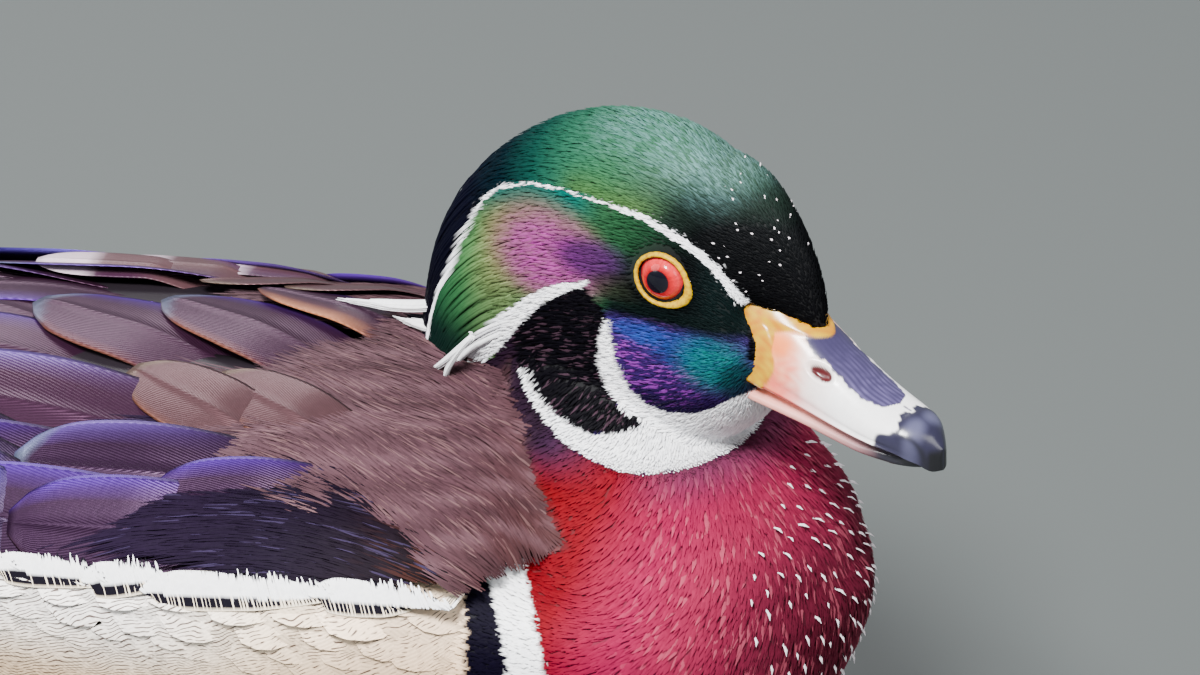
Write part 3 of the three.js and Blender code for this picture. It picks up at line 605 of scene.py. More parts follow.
HEAD_EDGE = (
    (-80, -32), (-66, -36), (-56, -40), (-50, -39.5), (-43.1, -32.4), (-38.2, -27.3), (-34.2, -22.4), (-31.2, -28.1),
    (-27.5, -30.6), (-21.4, -33.2), (-15.2, -35.6), (-8.5, -37.8), (-2, -39.6), (3, -40.6), (10, -40.9), (30, -40.9),
)
POLE = (-18.0, -14.0)


def head_colours(x, y, z, chance):
    bearing = np.degrees(np.arctan2(z - POLE[1], x - POLE[0])) % 360
    reach = np.hypot(x - POLE[0], z - POLE[1])
    brow = np.array(BROW)
    brow_bearing = np.degrees(np.arctan2(brow[:, 1] - POLE[1], brow[:, 0] - POLE[0])) % 360
    brow_reach = np.hypot(brow[:, 0] - POLE[0], brow[:, 1] - POLE[1])
    out = reach - np.interp(bearing, brow_bearing, brow_reach)
    from_brow, brow_share = along_line(x, z, BROW)

    crown = ramp(
        bearing + 14 * smooth(out, 5, 18) * (bearing < 90),
        (18, linear(9, 9, 12)), (44, linear(14, 16, 18)), (56, linear(34, 50, 42)), (68, linear(72, 108, 82)),
        (88, linear(64, 130, 88)), (108, linear(50, 124, 94)), (124, linear(18, 88, 76)),
        (140, linear(10, 40, 50)), (156, linear(10, 11, 28)), (190, linear(8, 8, 20)),
    )
    # Painted sheen: a pale grey-blue highlight over the middle of the crown, stronger on some tufts than others.
    crown = paint(crown, linear(126, 174, 176), smooth(out, 4, 14) * blob(bearing, z * 0, (76, 0), (26, 1)) * mix(0.1, 0.7, chance))
    crown = paint(crown, linear(92, 130, 58), (1 - smooth(out, 0, 6)) * blob(bearing, z * 0, (84, 0), (22, 1)) * 0.6)

    # The rear of the face is green-gold; its brightest band, about x −40, is partly its own colour and partly a painted
    # highlight.
    face = ramp(
        x, (-57, linear(14, 56, 44)), (-48, linear(80, 136, 80)), (-40, linear(152, 172, 106)),
        (-26, linear(66, 120, 82)), (-10, linear(42, 92, 58)), (2, linear(24, 48, 36)), (10, linear(11, 20, 20)),
    )
    face = paint(face, linear(0, 118, 106), (1 - smooth(from_brow, 2, 7)) * smooth(-x, 14, 24) * smooth(z, -2, 6))
    face = paint(face, linear(34, 92, 56), smooth(-z, 8, 18) * smooth(-x, 32, 40) * 0.7)
    face = paint(face, linear(9, 22, 26), smooth(-z, 17, 29) * smooth(-x, 38, 46) * 0.9)
    face = paint(face, linear(176, 136, 110), blob(x, z, (-28, -1.5), (15, 9.5)) * 0.65)
    face = paint(face, linear(200, 78, 176), blob(x, z, (-26, -2), (12, 7.5), 0.5) * mix(0.6, 1, chance))
    face = paint(face, linear(86, 38, 104), blob(x, z, (-15.5, 0.2), (8.5, 4.0), 0.5) * 0.9)
    face = paint(face, linear(58, 46, 42), blob(x, z, (-8, -4), (7, 3)) * 0.7)
    face = paint(face, linear(9, 13, 15), blob(x, z, (4, -1), (12, 8.5)))
    face = paint(face, linear(9, 24, 24), smooth(x, 6, 12))
    face = paint(face, linear(12, 24, 24), smooth(-z, 4, 8) * smooth(x, -14, -9))

    face = paint(face, linear(30, 14, 40), smooth(-z, 25, 28) * (x > -38))
    cheek = paint(np.broadcast_to(linear(70, 38, 116), face.shape), linear(18, 12, 44), smooth(-z, 21, 28) * 0.8)
    cheek = paint(cheek, linear(168, 66, 196), (chance > 0.7) * 0.85 * blob(x, z, (0, -18), (11, 9)))
    cheek = paint(cheek, linear(50, 98, 206), blob(x, z, (-3, -12.2), (6, 2.4), 0.6) * mix(0.4, 1, chance))
    cheek = paint(cheek, linear(26, 88, 170), blob(x, z, (6, -14), (7, 4), 0.6) * mix(0.3, 0.9, chance))
    cheek = paint(cheek, linear(0, 136, 132), blob(x, z, (12.5, -16), (6.5, 5.5), 0.6) * mix(0.5, 1, chance))
    cheek = paint(cheek, linear(12, 52, 52), blob(x, z, (18, -20), (4, 5)) * 0.7)
    face = paint(face, cheek, smooth(-z, 8.2, 11.5) * smooth(x, -12.5, -10))

    dark = np.broadcast_to(BLACK, face.shape)
    speckled = (chance > 0.86) * smooth(-z, 4, 22) * 0.6
    dark = paint(dark, linear(84, 60, 74), speckled)
    face = paint(face, dark, inside(x, z, CHEEK_BACK))

    colour = paint(face, crown, smooth(out, -0.2, 0.4))
    line = from_brow < brow_width(brow_share) * mix(0.45, 0.62, chance)
    white = line | inside(x, z, STRIPE) | inside(x, z, BIB)
    shade = mix(WHITE, linear(206, 208, 216), 0.5 * smooth(chance, 0.3, 1)[..., None])
    colour = np.where(white[..., None], shade, colour)
    gloss = np.where(white, 0.0, 0.55 - 0.4 * smooth(x, 4, 12) * (z > -9))
    gloss = np.where(inside(x, z, CHEEK_BACK), 0.1, gloss)
    return colour, gloss


# Markings of the body, the same on both sides

bar_front = profile((8, 66), (20, 70), (40, 74), (57, 73.7), (62, 72.4), (67.5, 70.5), (72, 68), (78, 64))
bar_width = profile((8, 3), (30, 6.5), (57, 7.0), (72, 7.2), (78, 6))
black_width = profile((8, 2), (30, 8), (57, 8.8), (64, 7), (74, 5), (78, 4))


def brown_front(z):
    """How far forward the brown of the back reaches at each height."""
    return np.interp(z, (75, 76, 78, 81, 85, 88, 92, 96, 104), (60, 68, 74, 71.3, 68, 64, 62, 64, 72))


def mantle_brown(points, chance):
    x, y, z = points.T
    brown = ramp(
        x, (-20, linear(78, 61, 68)), (10, linear(76, 54, 60)), (50, linear(69, 46, 52)), (70, linear(62, 36, 36)),
    )
    streaks = np.sin(0.5 * np.abs(y) + 0.28 * x + 1.6 * np.sin(0.11 * x)) + 0.6 * np.sin(1.3 * np.abs(y) + 0.4 * x)
    brown = paint(brown, linear(54, 36, 40), smooth(streaks, 0.1, 1.3) * 0.6)
    brown = paint(brown, linear(100, 74, 80), smooth(-streaks, 0.1, 1.3) * 0.5)
    brown = paint(brown, linear(120, 92, 90), (chance > 0.9) * 0.3)
    return brown


def body_colours(points, chance):
    x, y, z = points.T
    side = np.abs(y)
    around = x + 0.35 * side
    chest = ramp(
        around, (78, linear(114, 0, 8)), (92, linear(128, 2, 24)), (106, linear(166, 26, 76)),
        (116, linear(170, 42, 80)), (124, linear(124, 34, 60)), (132, linear(66, 14, 28)),
    )
    chest = paint(chest, linear(214, 104, 124), (chance > 0.84) * 0.4 * smooth(x, 80, 100))
    # Mauve at the top of the breast below the head: partly its own colour, partly the head's shadow painted in.
    chest = paint(chest, linear(116, 58, 90), smooth(z, 82, 90) * smooth(x, 80, 96) * 0.85)
    chest = paint(chest, linear(64, 34, 62), smooth(-x, -84, -66) * smooth(z, 86, 94))
    chest = paint(chest, linear(150, 110, 104), smooth(-z, -26, -14))

    colour = paint(chest, mantle_brown(points, chance), (1 - smooth(x - brown_front(z), -2.5, 2.5)) * smooth(z, 73.5, 76.5))

    flank = ramp(z, (20, linear(252, 246, 238)), (48, linear(252, 214, 170)), (72, linear(255, 240, 218)))
    flank = paint(flank, linear(250, 204, 160), smooth(x, 0, 50) * 0.45)
    flank = paint(flank, linear(255, 252, 250), smooth(-x, -24, 14) * smooth(z, 44, 66) * 0.8)
    flank = paint(flank, linear(244, 242, 238), smooth(-z, -26, -12))
    behind = x < bar_front(z) - bar_width(z) - black_width(z)
    colour = np.where((behind & (z < 76.5))[:, None], flank, colour)
    ink = (x < bar_front(z) - bar_width(z)) & ~behind & (z < 77)
    colour = np.where(ink[:, None], linear(10, 5, 24), colour)
    bar = (x < bar_front(z)) & (x > bar_front(z) - bar_width(z)) & (z < 76)
    colour = np.where(bar[:, None], WHITE, colour)

    rear = smooth(-x, 96, 118) * smooth(z, 52 - 8, 62)
    colour = paint(colour, linear(30, 30, 34), rear)
    patch = blob(x, z, (-122, 60), (20, 11)) * smooth(side, 16, 24)
    colour = paint(colour, linear(92, 24, 60), patch)
    under = smooth(-x, 112, 124) * smooth(-z, -62, -52)
    colour = paint(colour, linear(92, 76, 66), under * 0.8)
    rump = smooth(-x, 20, 60) * smooth(z, 76, 84)
    colour = paint(colour, linear(44, 40, 40), rump)
    scale = (behind & (z < 75)) * smooth(z, 16, 26) * (1 - rear) * (1 - patch)
    gloss = 0.12 + 0.2 * rear
    return colour, gloss, scale


def plumage(points, chance):
    """Colour, gloss and the strength of the fine dark waves at places on skin or coat."""
    local = to_head(points)
    edge = np.interp(local[:, 0], *zip(*HEAD_EDGE))
    on_head = (local[:, 2] > edge) & (local[:, 0] > -78)
    head, head_gloss = head_colours(local[:, 0], local[:, 1], local[:, 2], chance)
    body, body_gloss, waves = body_colours(points, chance)
    nape = (1 - smooth(edge - local[:, 2], 2.5, 6.5)) * smooth(-local[:, 0], 12, 22)
    body = paint(body, linear(36, 20, 40), nape * 0.9)
    colour = np.where(on_head[:, None], head, body)
    colour = colour * mix(DEPTH, 1, smooth(colour.min(-1, keepdims=True), 0.3, 0.6))
    return colour, np.where(on_head, head_gloss, body_gloss), np.where(on_head, 0.0, waves)


def set_looks(obj, colour, gloss, waves):
    """Stores colour, with gloss and waves beside it, on the points of a mesh."""
    mesh = obj.data
    for name, red, green, blue in (("Col", *colour.T), ("Mask", gloss, waves, gloss * 0)):
        layer = mesh.color_attributes.new(name, "FLOAT_COLOR", "POINT")
        values = np.stack([red, green, blue, np.ones(len(red))], -1)
        layer.data.foreach_set("color", values.astype(np.float32).ravel())


# Feathers. Each is a closed blade over rings of points: how wide it is along its length, and its section.

TUFT_SECTION = np.array([(-1, 0), (0, 1), (1, 0)])
VANE_SECTION = np.array([
    (-1, 0), (-0.92, 0.3), (-0.75, 0.5), (-0.5, 0.62), (-0.25, 0.72), (-0.05, 0.8), (0, 1.5), (0.05, 0.8), (0.25, 0.72),
    (0.5, 0.62), (0.75, 0.5), (0.92, 0.3), (1, 0), (0.5, -0.35), (0, -0.5), (-0.5, -0.35),
])
BODY_VANE_SECTION = np.array([(-1, 0), (-0.5, 0.75), (0, 1.2), (0.5, 0.75), (1, 0), (0, -0.4)])

tuft_width = profile((0, 0.55), (0.35, 1), (0.75, 0.7), (1, 0.12))
round_width = profile((0, 0.5), (0.35, 0.95), (0.65, 1), (0.88, 0.72), (1, 0.2))
long_width = profile((0, 0.35), (0.2, 0.8), (0.55, 1), (0.85, 0.86), (0.95, 0.6), (1, 0.18))
pointed_width = profile((0, 0.35), (0.2, 0.85), (0.55, 1), (0.82, 0.72), (0.95, 0.34), (1, 0.08))


def march(roots, directions, lengths, rows, surface=None):
    """Centre lines that run from their roots over the ground: points, normals and tangents, row by row."""
    surface = surface or ground
    point, normal = surface.nearest(roots)
    centres, normals, tangents = [], [], []
    heading = directions
    for row in range(rows):
        heading = unit(heading - normal * (heading * normal).sum(-1, keepdims=True))
        centres.append(point)
        normals.append(normal)
        tangents.append(heading)
        if row < rows - 1:
            point, normal = surface.nearest(point + heading * (lengths / (rows - 1))[:, None])
    return np.stack(centres, 1), np.stack(normals, 1), np.stack(tangents, 1)


class Coat:
    """Blades gathered into one mesh, with their colours, their own maps and their place on the skin's unwrap."""

    def __init__(self, name, section, soft=0.0):
        self.name, self.section = name, section
        self.points, self.colours, self.gloss, self.waves, self.maps, self.homes = [], [], [], [], [], []
        self.quads, self.caps, self.leans, self.count = [], [], [], 0
        self.soft = soft

    def add(self, centres, normals, tangents, widths, shape, lifts, thick, homes, tint, bend=0.0, crown=0.006):
        """Adds n blades over r rows. tint gives colour, gloss and waves from the rows and sections of each blade."""
        n, rows = centres.shape[:2]
        ring = len(self.section)
        share = np.linspace(0, 1, rows)
        sides = unit(np.cross(normals, tangents))
        half = widths[:, None] / 2 * shape(share)[None]
        out = half[..., None] * self.section[:, 0] + (bend * share ** 2)[..., None] * np.ones(ring)
        slim = np.minimum(1, shape(share) * 1.6)[None, :, None]
        high = lifts[..., None] + thick * slim * self.section[:, 1] - crown * out ** 2
        points = centres[:, :, None] + sides[:, :, None] * out[..., None] + normals[:, :, None] * high[..., None]
        points[..., 2] = np.maximum(points[..., 2], 0.25)
        self.points.append(points.reshape(-1, 3))
        self.leans.append(np.broadcast_to(normals[:, :, None], points.shape).reshape(-1, 3))
        along = np.broadcast_to(share[None, :, None], (n, rows, ring))
        across = np.broadcast_to(self.section[:, 0], (n, rows, ring))
        colour, gloss, waves = tint(points, along, across)
        self.colours.append(np.broadcast_to(colour, points.shape).reshape(-1, 3))
        self.gloss.append(np.broadcast_to(gloss, points.shape[:3]).ravel())
        self.waves.append(np.broadcast_to(waves, points.shape[:3]).ravel())
        self.maps.append(np.stack([across, along], -1).reshape(-1, 2) * 0.5 + 0.5)
        home = homes[:, None, None] + 0.003 * (np.stack([across * 0.5, along - 0.5], -1).reshape(n, -1, 1, 2)[:, :, 0])[:, :, None]
        self.homes.append(home.reshape(-1, 2))
        base = self.count + np.arange(n)[:, None, None] * rows * ring
        r, i = np.meshgrid(np.arange(rows - 1), np.arange(ring), indexing="ij")
        j = (i + 1) % ring
        quads = np.stack([r * ring + i, (r + 1) * ring + i, (r + 1) * ring + j, r * ring + j], -1).reshape(1, -1, 4)
        self.quads.append((base + quads).reshape(-1, 4))
        root_cap = np.arange(ring)[None]
        tip_cap = (rows - 1) * ring + np.arange(ring)[::-1][None]
        self.caps.append(np.concatenate([base[:, 0] + root_cap, base[:, 0] + tip_cap]))
        self.count += n * rows * ring

    def triangles(self):
        return sum(len(q) * 2 for q in self.quads) + sum(len(c) * (c.shape[1] - 2) for c in self.caps)

    def build(self, material, *replaced):
        points = np.concatenate(self.points)
        obj = quad_mesh(self.name, points, np.concatenate(self.quads), [np.concatenate(self.caps)])
        set_looks(obj, np.concatenate(self.colours), np.concatenate(self.gloss), np.concatenate(self.waves))
        corners = np.zeros(len(obj.data.loops), np.int32)
        obj.data.loops.foreach_get("vertex_index", corners)
        for name, places in (("Vane", self.maps), ("OFBake", self.homes)):
            layer = obj.data.uv_layers.new(name=name)
            layer.data.foreach_set("uv", np.concatenate(places)[corners].astype(np.float32).ravel())
        if self.soft:
            facing = np.zeros(len(points) * 3, np.float32)
            obj.data.vertex_normals.foreach_get("vector", facing)
            shared = unit(mix(facing.reshape(-1, 3), np.concatenate(self.leans), self.soft))
            obj.data.normals_split_custom_set_from_vertices(shared.tolist())
        obj.data.materials.append(material)
        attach(obj, "root")
        if replaced:
            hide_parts(*replaced)
        print(f"{self.name}: {self.triangles()} triangles")
        return obj


def homes_of(uv, zone=None, main=TORSO_ZONE):
    """Places on a coat's own unwrap: the form that carries most of it has the wide part of the map."""
    if zone is None:
        return 0.02 + 0.96 * uv
    across = 0.02 + 0.70 * uv[:, 0]
    rest = [z for z in (TORSO_ZONE, NECK_ZONE, HEAD_ZONE, FOREHEAD_ZONE) if z != main]
    for number, other in enumerate(rest):
        across = np.where(zone == other, 0.74 + 0.08 * number + 0.07 * uv[:, 0], across)
    return np.stack([across, 0.02 + 0.96 * uv[:, 1]], -1)


# Materials

def new_material(name, roughness, **sockets):
    material = bpy.data.materials.new(name)
    material.use_nodes = True
    shader = material.node_tree.nodes["Principled BSDF"]
    shader.inputs["Roughness"].default_value = roughness
    for socket, value in sockets.items():
        shader.inputs[socket.replace("_", " ")].default_value = value
    return material, material.node_tree.nodes, material.node_tree.links, shader


def node(nodes, kind, **settings):
    made = nodes.new(kind)
    for name, value in settings.items():
        if name in made.inputs:
            made.inputs[name].default_value = value
        else:
            setattr(made, name, value)
    return made


def math_node(nodes, links, operation, first, second=None, clamp=False):
    made = nodes.new("ShaderNodeMath")
    made.operation, made.use_clamp = operation, clamp
    for socket, value in zip(made.inputs, (first, second)):
        if isinstance(value, bpy.types.NodeSocket):
            links.new(value, socket)
        elif value is not None:
            socket.default_value = value
    return made.outputs[0]


def blend_colour(nodes, links, share, first, second, kind="MIX"):
    made = nodes.new("ShaderNodeMix")
    made.data_type, made.blend_type = "RGBA", kind
    for socket, value in ((made.inputs[0], share), (made.inputs[6], first), (made.inputs[7], second)):
        if isinstance(value, bpy.types.NodeSocket):
            links.new(value, socket)
        elif isinstance(value, (int, float)):
            socket.default_value = value
        else:
            socket.default_value = (*value, 1)
    return made.outputs[2]


def feather_material(name, roughness, gloss_share, barbs, specular=0.22):
    """Plumage coloured by the painted attributes, with fine barbs across each vane."""
    material, nodes, links, shader = new_material(name, roughness, Specular_IOR_Level=specular)
    colour = node(nodes, "ShaderNodeVertexColor", layer_name="Col").outputs["Color"]
    mask = nodes.new("ShaderNodeSeparateColor")
    links.new(node(nodes, "ShaderNodeVertexColor", layer_name="Mask").outputs["Color"], mask.inputs[0])
    place = nodes.new("ShaderNodeTexCoord")
    cloud = node(nodes, "ShaderNodeTexNoise", Scale=900.0, Detail=3.0)
    links.new(place.outputs["Object"], cloud.inputs["Vector"])
    tone = node(nodes, "ShaderNodeMapRange")
    tone.inputs["To Min"].default_value, tone.inputs["To Max"].default_value = 0.82, 1.16
    links.new(cloud.outputs["Fac"], tone.inputs["Value"])
    shaded = blend_colour(nodes, links, 1.0, colour, tone.outputs["Result"], "MULTIPLY")
    height = cloud.outputs["Fac"]
    if barbs:
        vane = node(nodes, "ShaderNodeUVMap", uv_map="Vane")
        split = nodes.new("ShaderNodeSeparateXYZ")
        links.new(vane.outputs["UV"], split.inputs[0])
        across = math_node(nodes, links, "ABSOLUTE", math_node(nodes, links, "SUBTRACT", split.outputs[0], 0.5))
        slant = math_node(nodes, links, "SUBTRACT", split.outputs[1], math_node(nodes, links, "MULTIPLY", across, 0.55))
        wave = math_node(nodes, links, "SINE", math_node(nodes, links, "MULTIPLY", slant, barbs))
        rows = math_node(nodes, links, "MULTIPLY", math_node(nodes, links, "ADD", wave, 1.0), 0.5)
        height = math_node(nodes, links, "ADD", height, rows)
        fine = node(nodes, "ShaderNodeMapRange")
        fine.inputs["To Min"].default_value, fine.inputs["To Max"].default_value = 0.95, 1.03
        links.new(rows, fine.inputs["Value"])
        shaded = blend_colour(nodes, links, 1.0, shaded, fine.outputs["Result"], "MULTIPLY")
    waves = wavy_lines(nodes, links, place.outputs["Object"])
    share = math_node(nodes, links, "MULTIPLY", waves, mask.outputs[1])
    shaded = blend_colour(nodes, links, share, shaded, linear(70, 52, 46))
    links.new(shaded, shader.inputs["Base Color"])
    links.new(math_node(nodes, links, "MULTIPLY", mask.outputs[0], gloss_share), shader.inputs["Metallic"])
    bump = node(nodes, "ShaderNodeBump", Strength=0.2 if barbs else 0.35, Distance=0.0002)
    links.new(height, bump.inputs["Height"])
    links.new(bump.outputs["Normal"], shader.inputs["Normal"])
    return material


def wavy_lines(nodes, links, place):
    """Thin broken dark lines, a little over a millimetre apart, that wander across the flanks."""
    wander = node(nodes, "ShaderNodeTexNoise", Scale=110.0, Detail=2.0)
    links.new(place, wander.inputs["Vector"])
    shift = nodes.new("ShaderNodeVectorMath")
    shift.operation = "SCALE"
    shift.inputs["Scale"].default_value = 0.005
    links.new(wander.outputs["Color"], shift.inputs[0])
    moved = nodes.new("ShaderNodeVectorMath")
    links.new(place, moved.inputs[0])
    links.new(shift.outputs[0], moved.inputs[1])
    wave = node(nodes, "ShaderNodeTexWave", bands_direction="Z", Scale=390.0, Distortion=4.0, Detail=0.0)
    wave.inputs["Detail Scale"].default_value = 0.7
    turn = node(nodes, "ShaderNodeMapping")
    turn.inputs["Rotation"].default_value = (0, 0.3, 0)
    links.new(moved.outputs[0], turn.inputs[0])
    links.new(turn.outputs[0], wave.inputs["Vector"])
    line = node(nodes, "ShaderNodeMapRange")
    line.inputs["From Min"].default_value, line.inputs["From Max"].default_value = 0.66, 0.98
    links.new(wave.outputs["Fac"], line.inputs["Value"])
    gaps = node(nodes, "ShaderNodeTexNoise", Scale=560.0, Detail=1.0)
    links.new(place, gaps.inputs["Vector"])
    broken = node(nodes, "ShaderNodeMapRange")
    broken.inputs["From Min"].default_value, broken.inputs["From Max"].default_value = 0.33, 0.46
    split = nodes.new("ShaderNodeSeparateXYZ")
    links.new(place, split.inputs[0])
    forward = node(nodes, "ShaderNodeMapRange")
    forward.inputs["From Min"].default_value, forward.inputs["From Max"].default_value = -0.02, 0.04
    forward.inputs["To Max"].default_value = 0.13
    links.new(split.outputs[0], forward.inputs["Value"])
    links.new(math_node(nodes, links, "SUBTRACT", gaps.outputs["Fac"], forward.outputs["Result"]), broken.inputs["Value"])
    return math_node(nodes, links, "MULTIPLY", line.outputs["Result"], broken.outputs["Result"])


down_material = feather_material("plumage_tufts", 0.55, 0.9, 0, 0.04)
vane_material = feather_material("plumage_vanes", 0.5, 0.9, 150.0)
quill_material = feather_material("flight_feathers", 0.38, 1.0, 420.0)


# Skin's looks

skin_points = ground.points
skin_chance = np.full(len(skin_points), 0.5)
skin_colour, skin_gloss, skin_waves = plumage(skin_points, skin_chance)
# The skin under the coat takes the plumage's colours a quarter darker: painted shade down among the tufts.
set_looks(skin, skin_colour * 0.75, skin_gloss * 0.3, skin_waves * 0)
skin.data.materials.append(feather_material("skin_under_coat", 0.7, 0.5, 0))
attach(skin, "root")
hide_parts("torso", "neck", "head")


# Coat of tufts over head, neck and breast

EYE_Y, EYE_RADIUS = 11.0, 6.2


def eye_gap(points):
    """Distance of each point from the nearer eye's centre."""
    local = to_head(points)
    return np.minimum(
        np.linalg.norm(local - (0, EYE_Y, 0), axis=1), np.linalg.norm(local - (0, -EYE_Y, 0), axis=1),
    )


def under_bill(points):
    """Whether points lie inside the bill, with a hair's width to spare."""
    x, y, z = to_head(points).T
    top, cut = culmen(x), bill_cut(x)
    mid = mix(cut, top, 0.14)
    reach = np.where(z > mid, top - mid, mid - cut)
    return (x > 12) & ((np.abs(y) / bill_half(x)) ** 2.4 + (np.abs(z - mid) / reach) ** 2.4 < 1.02)


def above_collar(points, spare=0.0):
    """Whether points lie on the head's side of the edge of its white collar."""
    local = to_head(points)
    return (local[:, 2] > np.interp(local[:, 0], *zip(*HEAD_EDGE)) - spare) & (local[:, 0] > -78)


def tuft_tint(chance, paint_at=plumage, dark_root=0.6):
    """Colour from one place along each tuft, darker at its root unless it is white."""
    def tint(points, along, across):
        rows = points.shape[1]
        colour, gloss, _ = paint_at(points[:, :, 1].reshape(-1, 3), np.repeat(chance, rows))
        colour, gloss = colour.reshape(-1, rows, 1, 3), gloss.reshape(-1, rows, 1)
        pale = smooth(colour.min(-1, keepdims=True), 0.5, 0.8)
        tone = mix(mix(dark_root, 1.08, along[..., None]), 0.97 + 0.03 * along[..., None], pale)
        tone = tone * (1 + mix(0.22, 0.03, pale) * (chance - 0.5)[:, None, None, None])
        return colour * tone, gloss * np.ones(3), 0.0
    return tint


TUFT_TRIANGLES, PIECE_LIMIT = 14, 185000


def grow_tufts(
    name, roots, length, width, lift, along, homes, thick, soft, wild=0.1, over=None, paint_at=plumage, dark_root=0.6,
):
    """Tufts in as many meshes as keep each under its limit of triangles."""
    chance = rng.random(len(roots))
    length = length * mix(0.8, 1.2, rng.random(len(roots)))
    width = width * mix(0.8, 1.2, rng.random(len(roots)))
    wobble = unit(along + wild * rng.standard_normal(along.shape))
    parts = math.ceil(len(roots) * TUFT_TRIANGLES / PIECE_LIMIT)
    for part in range(parts):
        pick = slice(part, None, parts)
        centres, normals, tangents = march(roots[pick], wobble[pick], length[pick], 3, over)
        rise = lift[pick] * mix(0.7, 1.3, rng.random(len(centres)))
        lifts = -0.35 + rise[:, None] * np.array([0, 0.72, 1])
        coat = Coat(f"{name}_{part + 1}" if parts > 1 else name, TUFT_SECTION, soft)
        tint = tuft_tint(chance[pick], paint_at, dark_root)
        coat.add(centres, normals, tangents, width[pick], tuft_width, lifts, thick, homes[pick], tint)
        coat.build(down_material)


def to_marking(points):
    """How far points lie from the nearest edge of the head's white markings, seen from the side."""
    x, _, z = to_head(points).T
    lines = [STRIPE + STRIPE[:1], BIB + BIB[:1], BROW]
    return np.min([along_line(x, z, line)[0] for line in lines], axis=0)


def head_coat():
    # The head's own coat reaches down over the edge of the throat.
    def keep(points):
        return above_collar(points, 1.5) * (1 + 2.2 * smooth(to_head(points)[:, 0], -12, 12))
    roots = ground.scatter(150000, keep)
    gap = np.interp(to_head(roots)[:, 0], (-70, -40, -10, 8, 30), (0.66, 0.58, 0.47, 0.38, 0.34))
    roots = roots[thinned(roots, gap * mix(0.74, 1, smooth(to_marking(roots), 0.8, 2.5)))]
    roots = roots[(eye_gap(roots) > 7.4) & ~under_bill(roots)]
    ahead = to_head(roots)[:, 0]
    along, zone, uv = read_guides(roots)
    length = np.interp(ahead, (-70, -45, -15, 8, 30), (6.5, 4.6, 3.4, 2.2, 1.7))
    length = np.minimum(length, np.interp(eye_gap(roots), (7.3, 12), (0.9, 9.0)))
    over_edge = to_head(roots)[:, 2] - np.interp(ahead, *zip(*HEAD_EDGE))
    from_marking = smooth(to_marking(roots), 0.6, 3)
    length = length * np.interp(over_edge, (0, 4), (0.5, 1.0)) * mix(0.62, 1, from_marking)
    width = np.interp(ahead, (-70, -40, -10, 8, 30), (0.85, 0.76, 0.64, 0.5, 0.44)) * mix(0.78, 1, from_marking)
    lift = np.interp(ahead, (-70, 0, 30), (1.4, 1.0, 0.75))
    print("head tufts", len(roots))
    grow_tufts("head_coat", roots, length, width, lift, along, homes_of(uv, zone, HEAD_ZONE), 0.18, 0.66)


def breast_coat():
    def keep(points):
        lower = mix(0.35, 1.0, smooth(points[:, 2], 14, 34))
        return ~above_collar(points) * (points[:, 0] > 46) * (points[:, 2] > 4) * lower
    roots = ground.scatter(110000, keep)
    gap = np.interp(roots[:, 2], (10, 30, 90), (1.4, 0.82, 0.7)) * np.interp(roots[:, 0], (54, 60, 74, 80), (1, 0.75, 0.75, 1))
    roots = roots[thinned(roots, gap)]
    along, zone, uv = read_guides(roots)
    length = np.interp(roots[:, 0], (46, 58, 76, 84, 125), (6.0, 2.6, 2.6, 4.8, 4.2))
    width = np.interp(roots[:, 2], (10, 40, 95), (1.8, 1.05, 0.92))
    print("breast tufts", len(roots))
    lift = np.full(len(roots), 1.05)
    grow_tufts("breast_coat", roots, length, width, lift, along, homes_of(uv, zone), 0.15, 0.9, wild=0.05, dark_root=0.88)


def flecks(name, spacing, length, width, keep, lift, share):
    """Single white marks, each a small tuft that lies over the coat."""
    roots = ground.scatter(9000, keep)
    roots = roots[thinned(roots, np.full(len(roots), spacing))]
    roots = roots[rng.random(len(roots)) < share]
    along, zone, uv = read_guides(roots)
    n = len(roots)
    grow_tufts(
        name, roots, np.full(n, length), np.full(n, width), np.full(n, lift), along, homes_of(uv, zone, HEAD_ZONE),
        0.3, 0.6, paint_at=lambda points, chance: (np.tile(linear(236, 226, 230), (len(points), 1)), chance * 0, chance * 0),
    )


def staggered(low, high, pitch, degrees, pitch_across, surface):
    """Places in rows over a surface, each row set half a pitch round from the last."""
    places = []
    for row, x in enumerate(np.arange(low, high, pitch)):
        ring = surface(np.full(181, x), np.linspace(degrees[0], degrees[1], 181))
        lengths = np.concatenate([[0], np.cumsum(np.linalg.norm(np.diff(ring, axis=0), axis=1))])
        count = max(int(lengths[-1] / pitch_across), 1)
        shares = (np.arange(count) + 0.25 + 0.5 * (row % 2)) / count
        turn = np.interp(shares * lengths[-1], lengths, np.linspace(degrees[0], degrees[1], 181))
        places += [(x, d) for d in turn]
    return np.array(places)


def over_wing(x, z):
    """How much of the way out to the folded wing's lower edge the flank's coat reaches."""
    return smooth(z, 34, 72) * smooth(-x, -58, -42) * smooth(x, -100, -76)


def flank_ground():
    """The skin led out over the folded wing's lower edge on each side, and back in above it."""
    points = ground.points.copy()
    shift = np.zeros(len(points))
    reach = over_wing(points[:, 0], points[:, 2]) * (1 - smooth(points[:, 2], 71, 77))
    for side in SIDES:
        pick = (reach > 0) & (points[:, 1] * side < 0)
        outer = seen_from_side(over_back, points[pick, 0], points[pick, 2], side)[0]
        shift[pick] = reach[pick] * np.minimum(0, (outer - points[pick])[:, 1] * side + 0.6) * side
    start, end = np.concatenate([ground.triangles[:, [0, 1]], ground.triangles[:, [1, 2]], ground.triangles[:, [2, 0]]]).T
    for _ in range(16):
        shift = np.bincount(start, shift[end], len(points)) / np.maximum(1, np.bincount(start, None, len(points)))
    points[:, 1] += shift
    shell = mesh_of("flank", points, [tuple(t) for t in ground.triangles.tolist()])
    read = Ground(shell)
    bpy.data.objects.remove(shell)
    return read


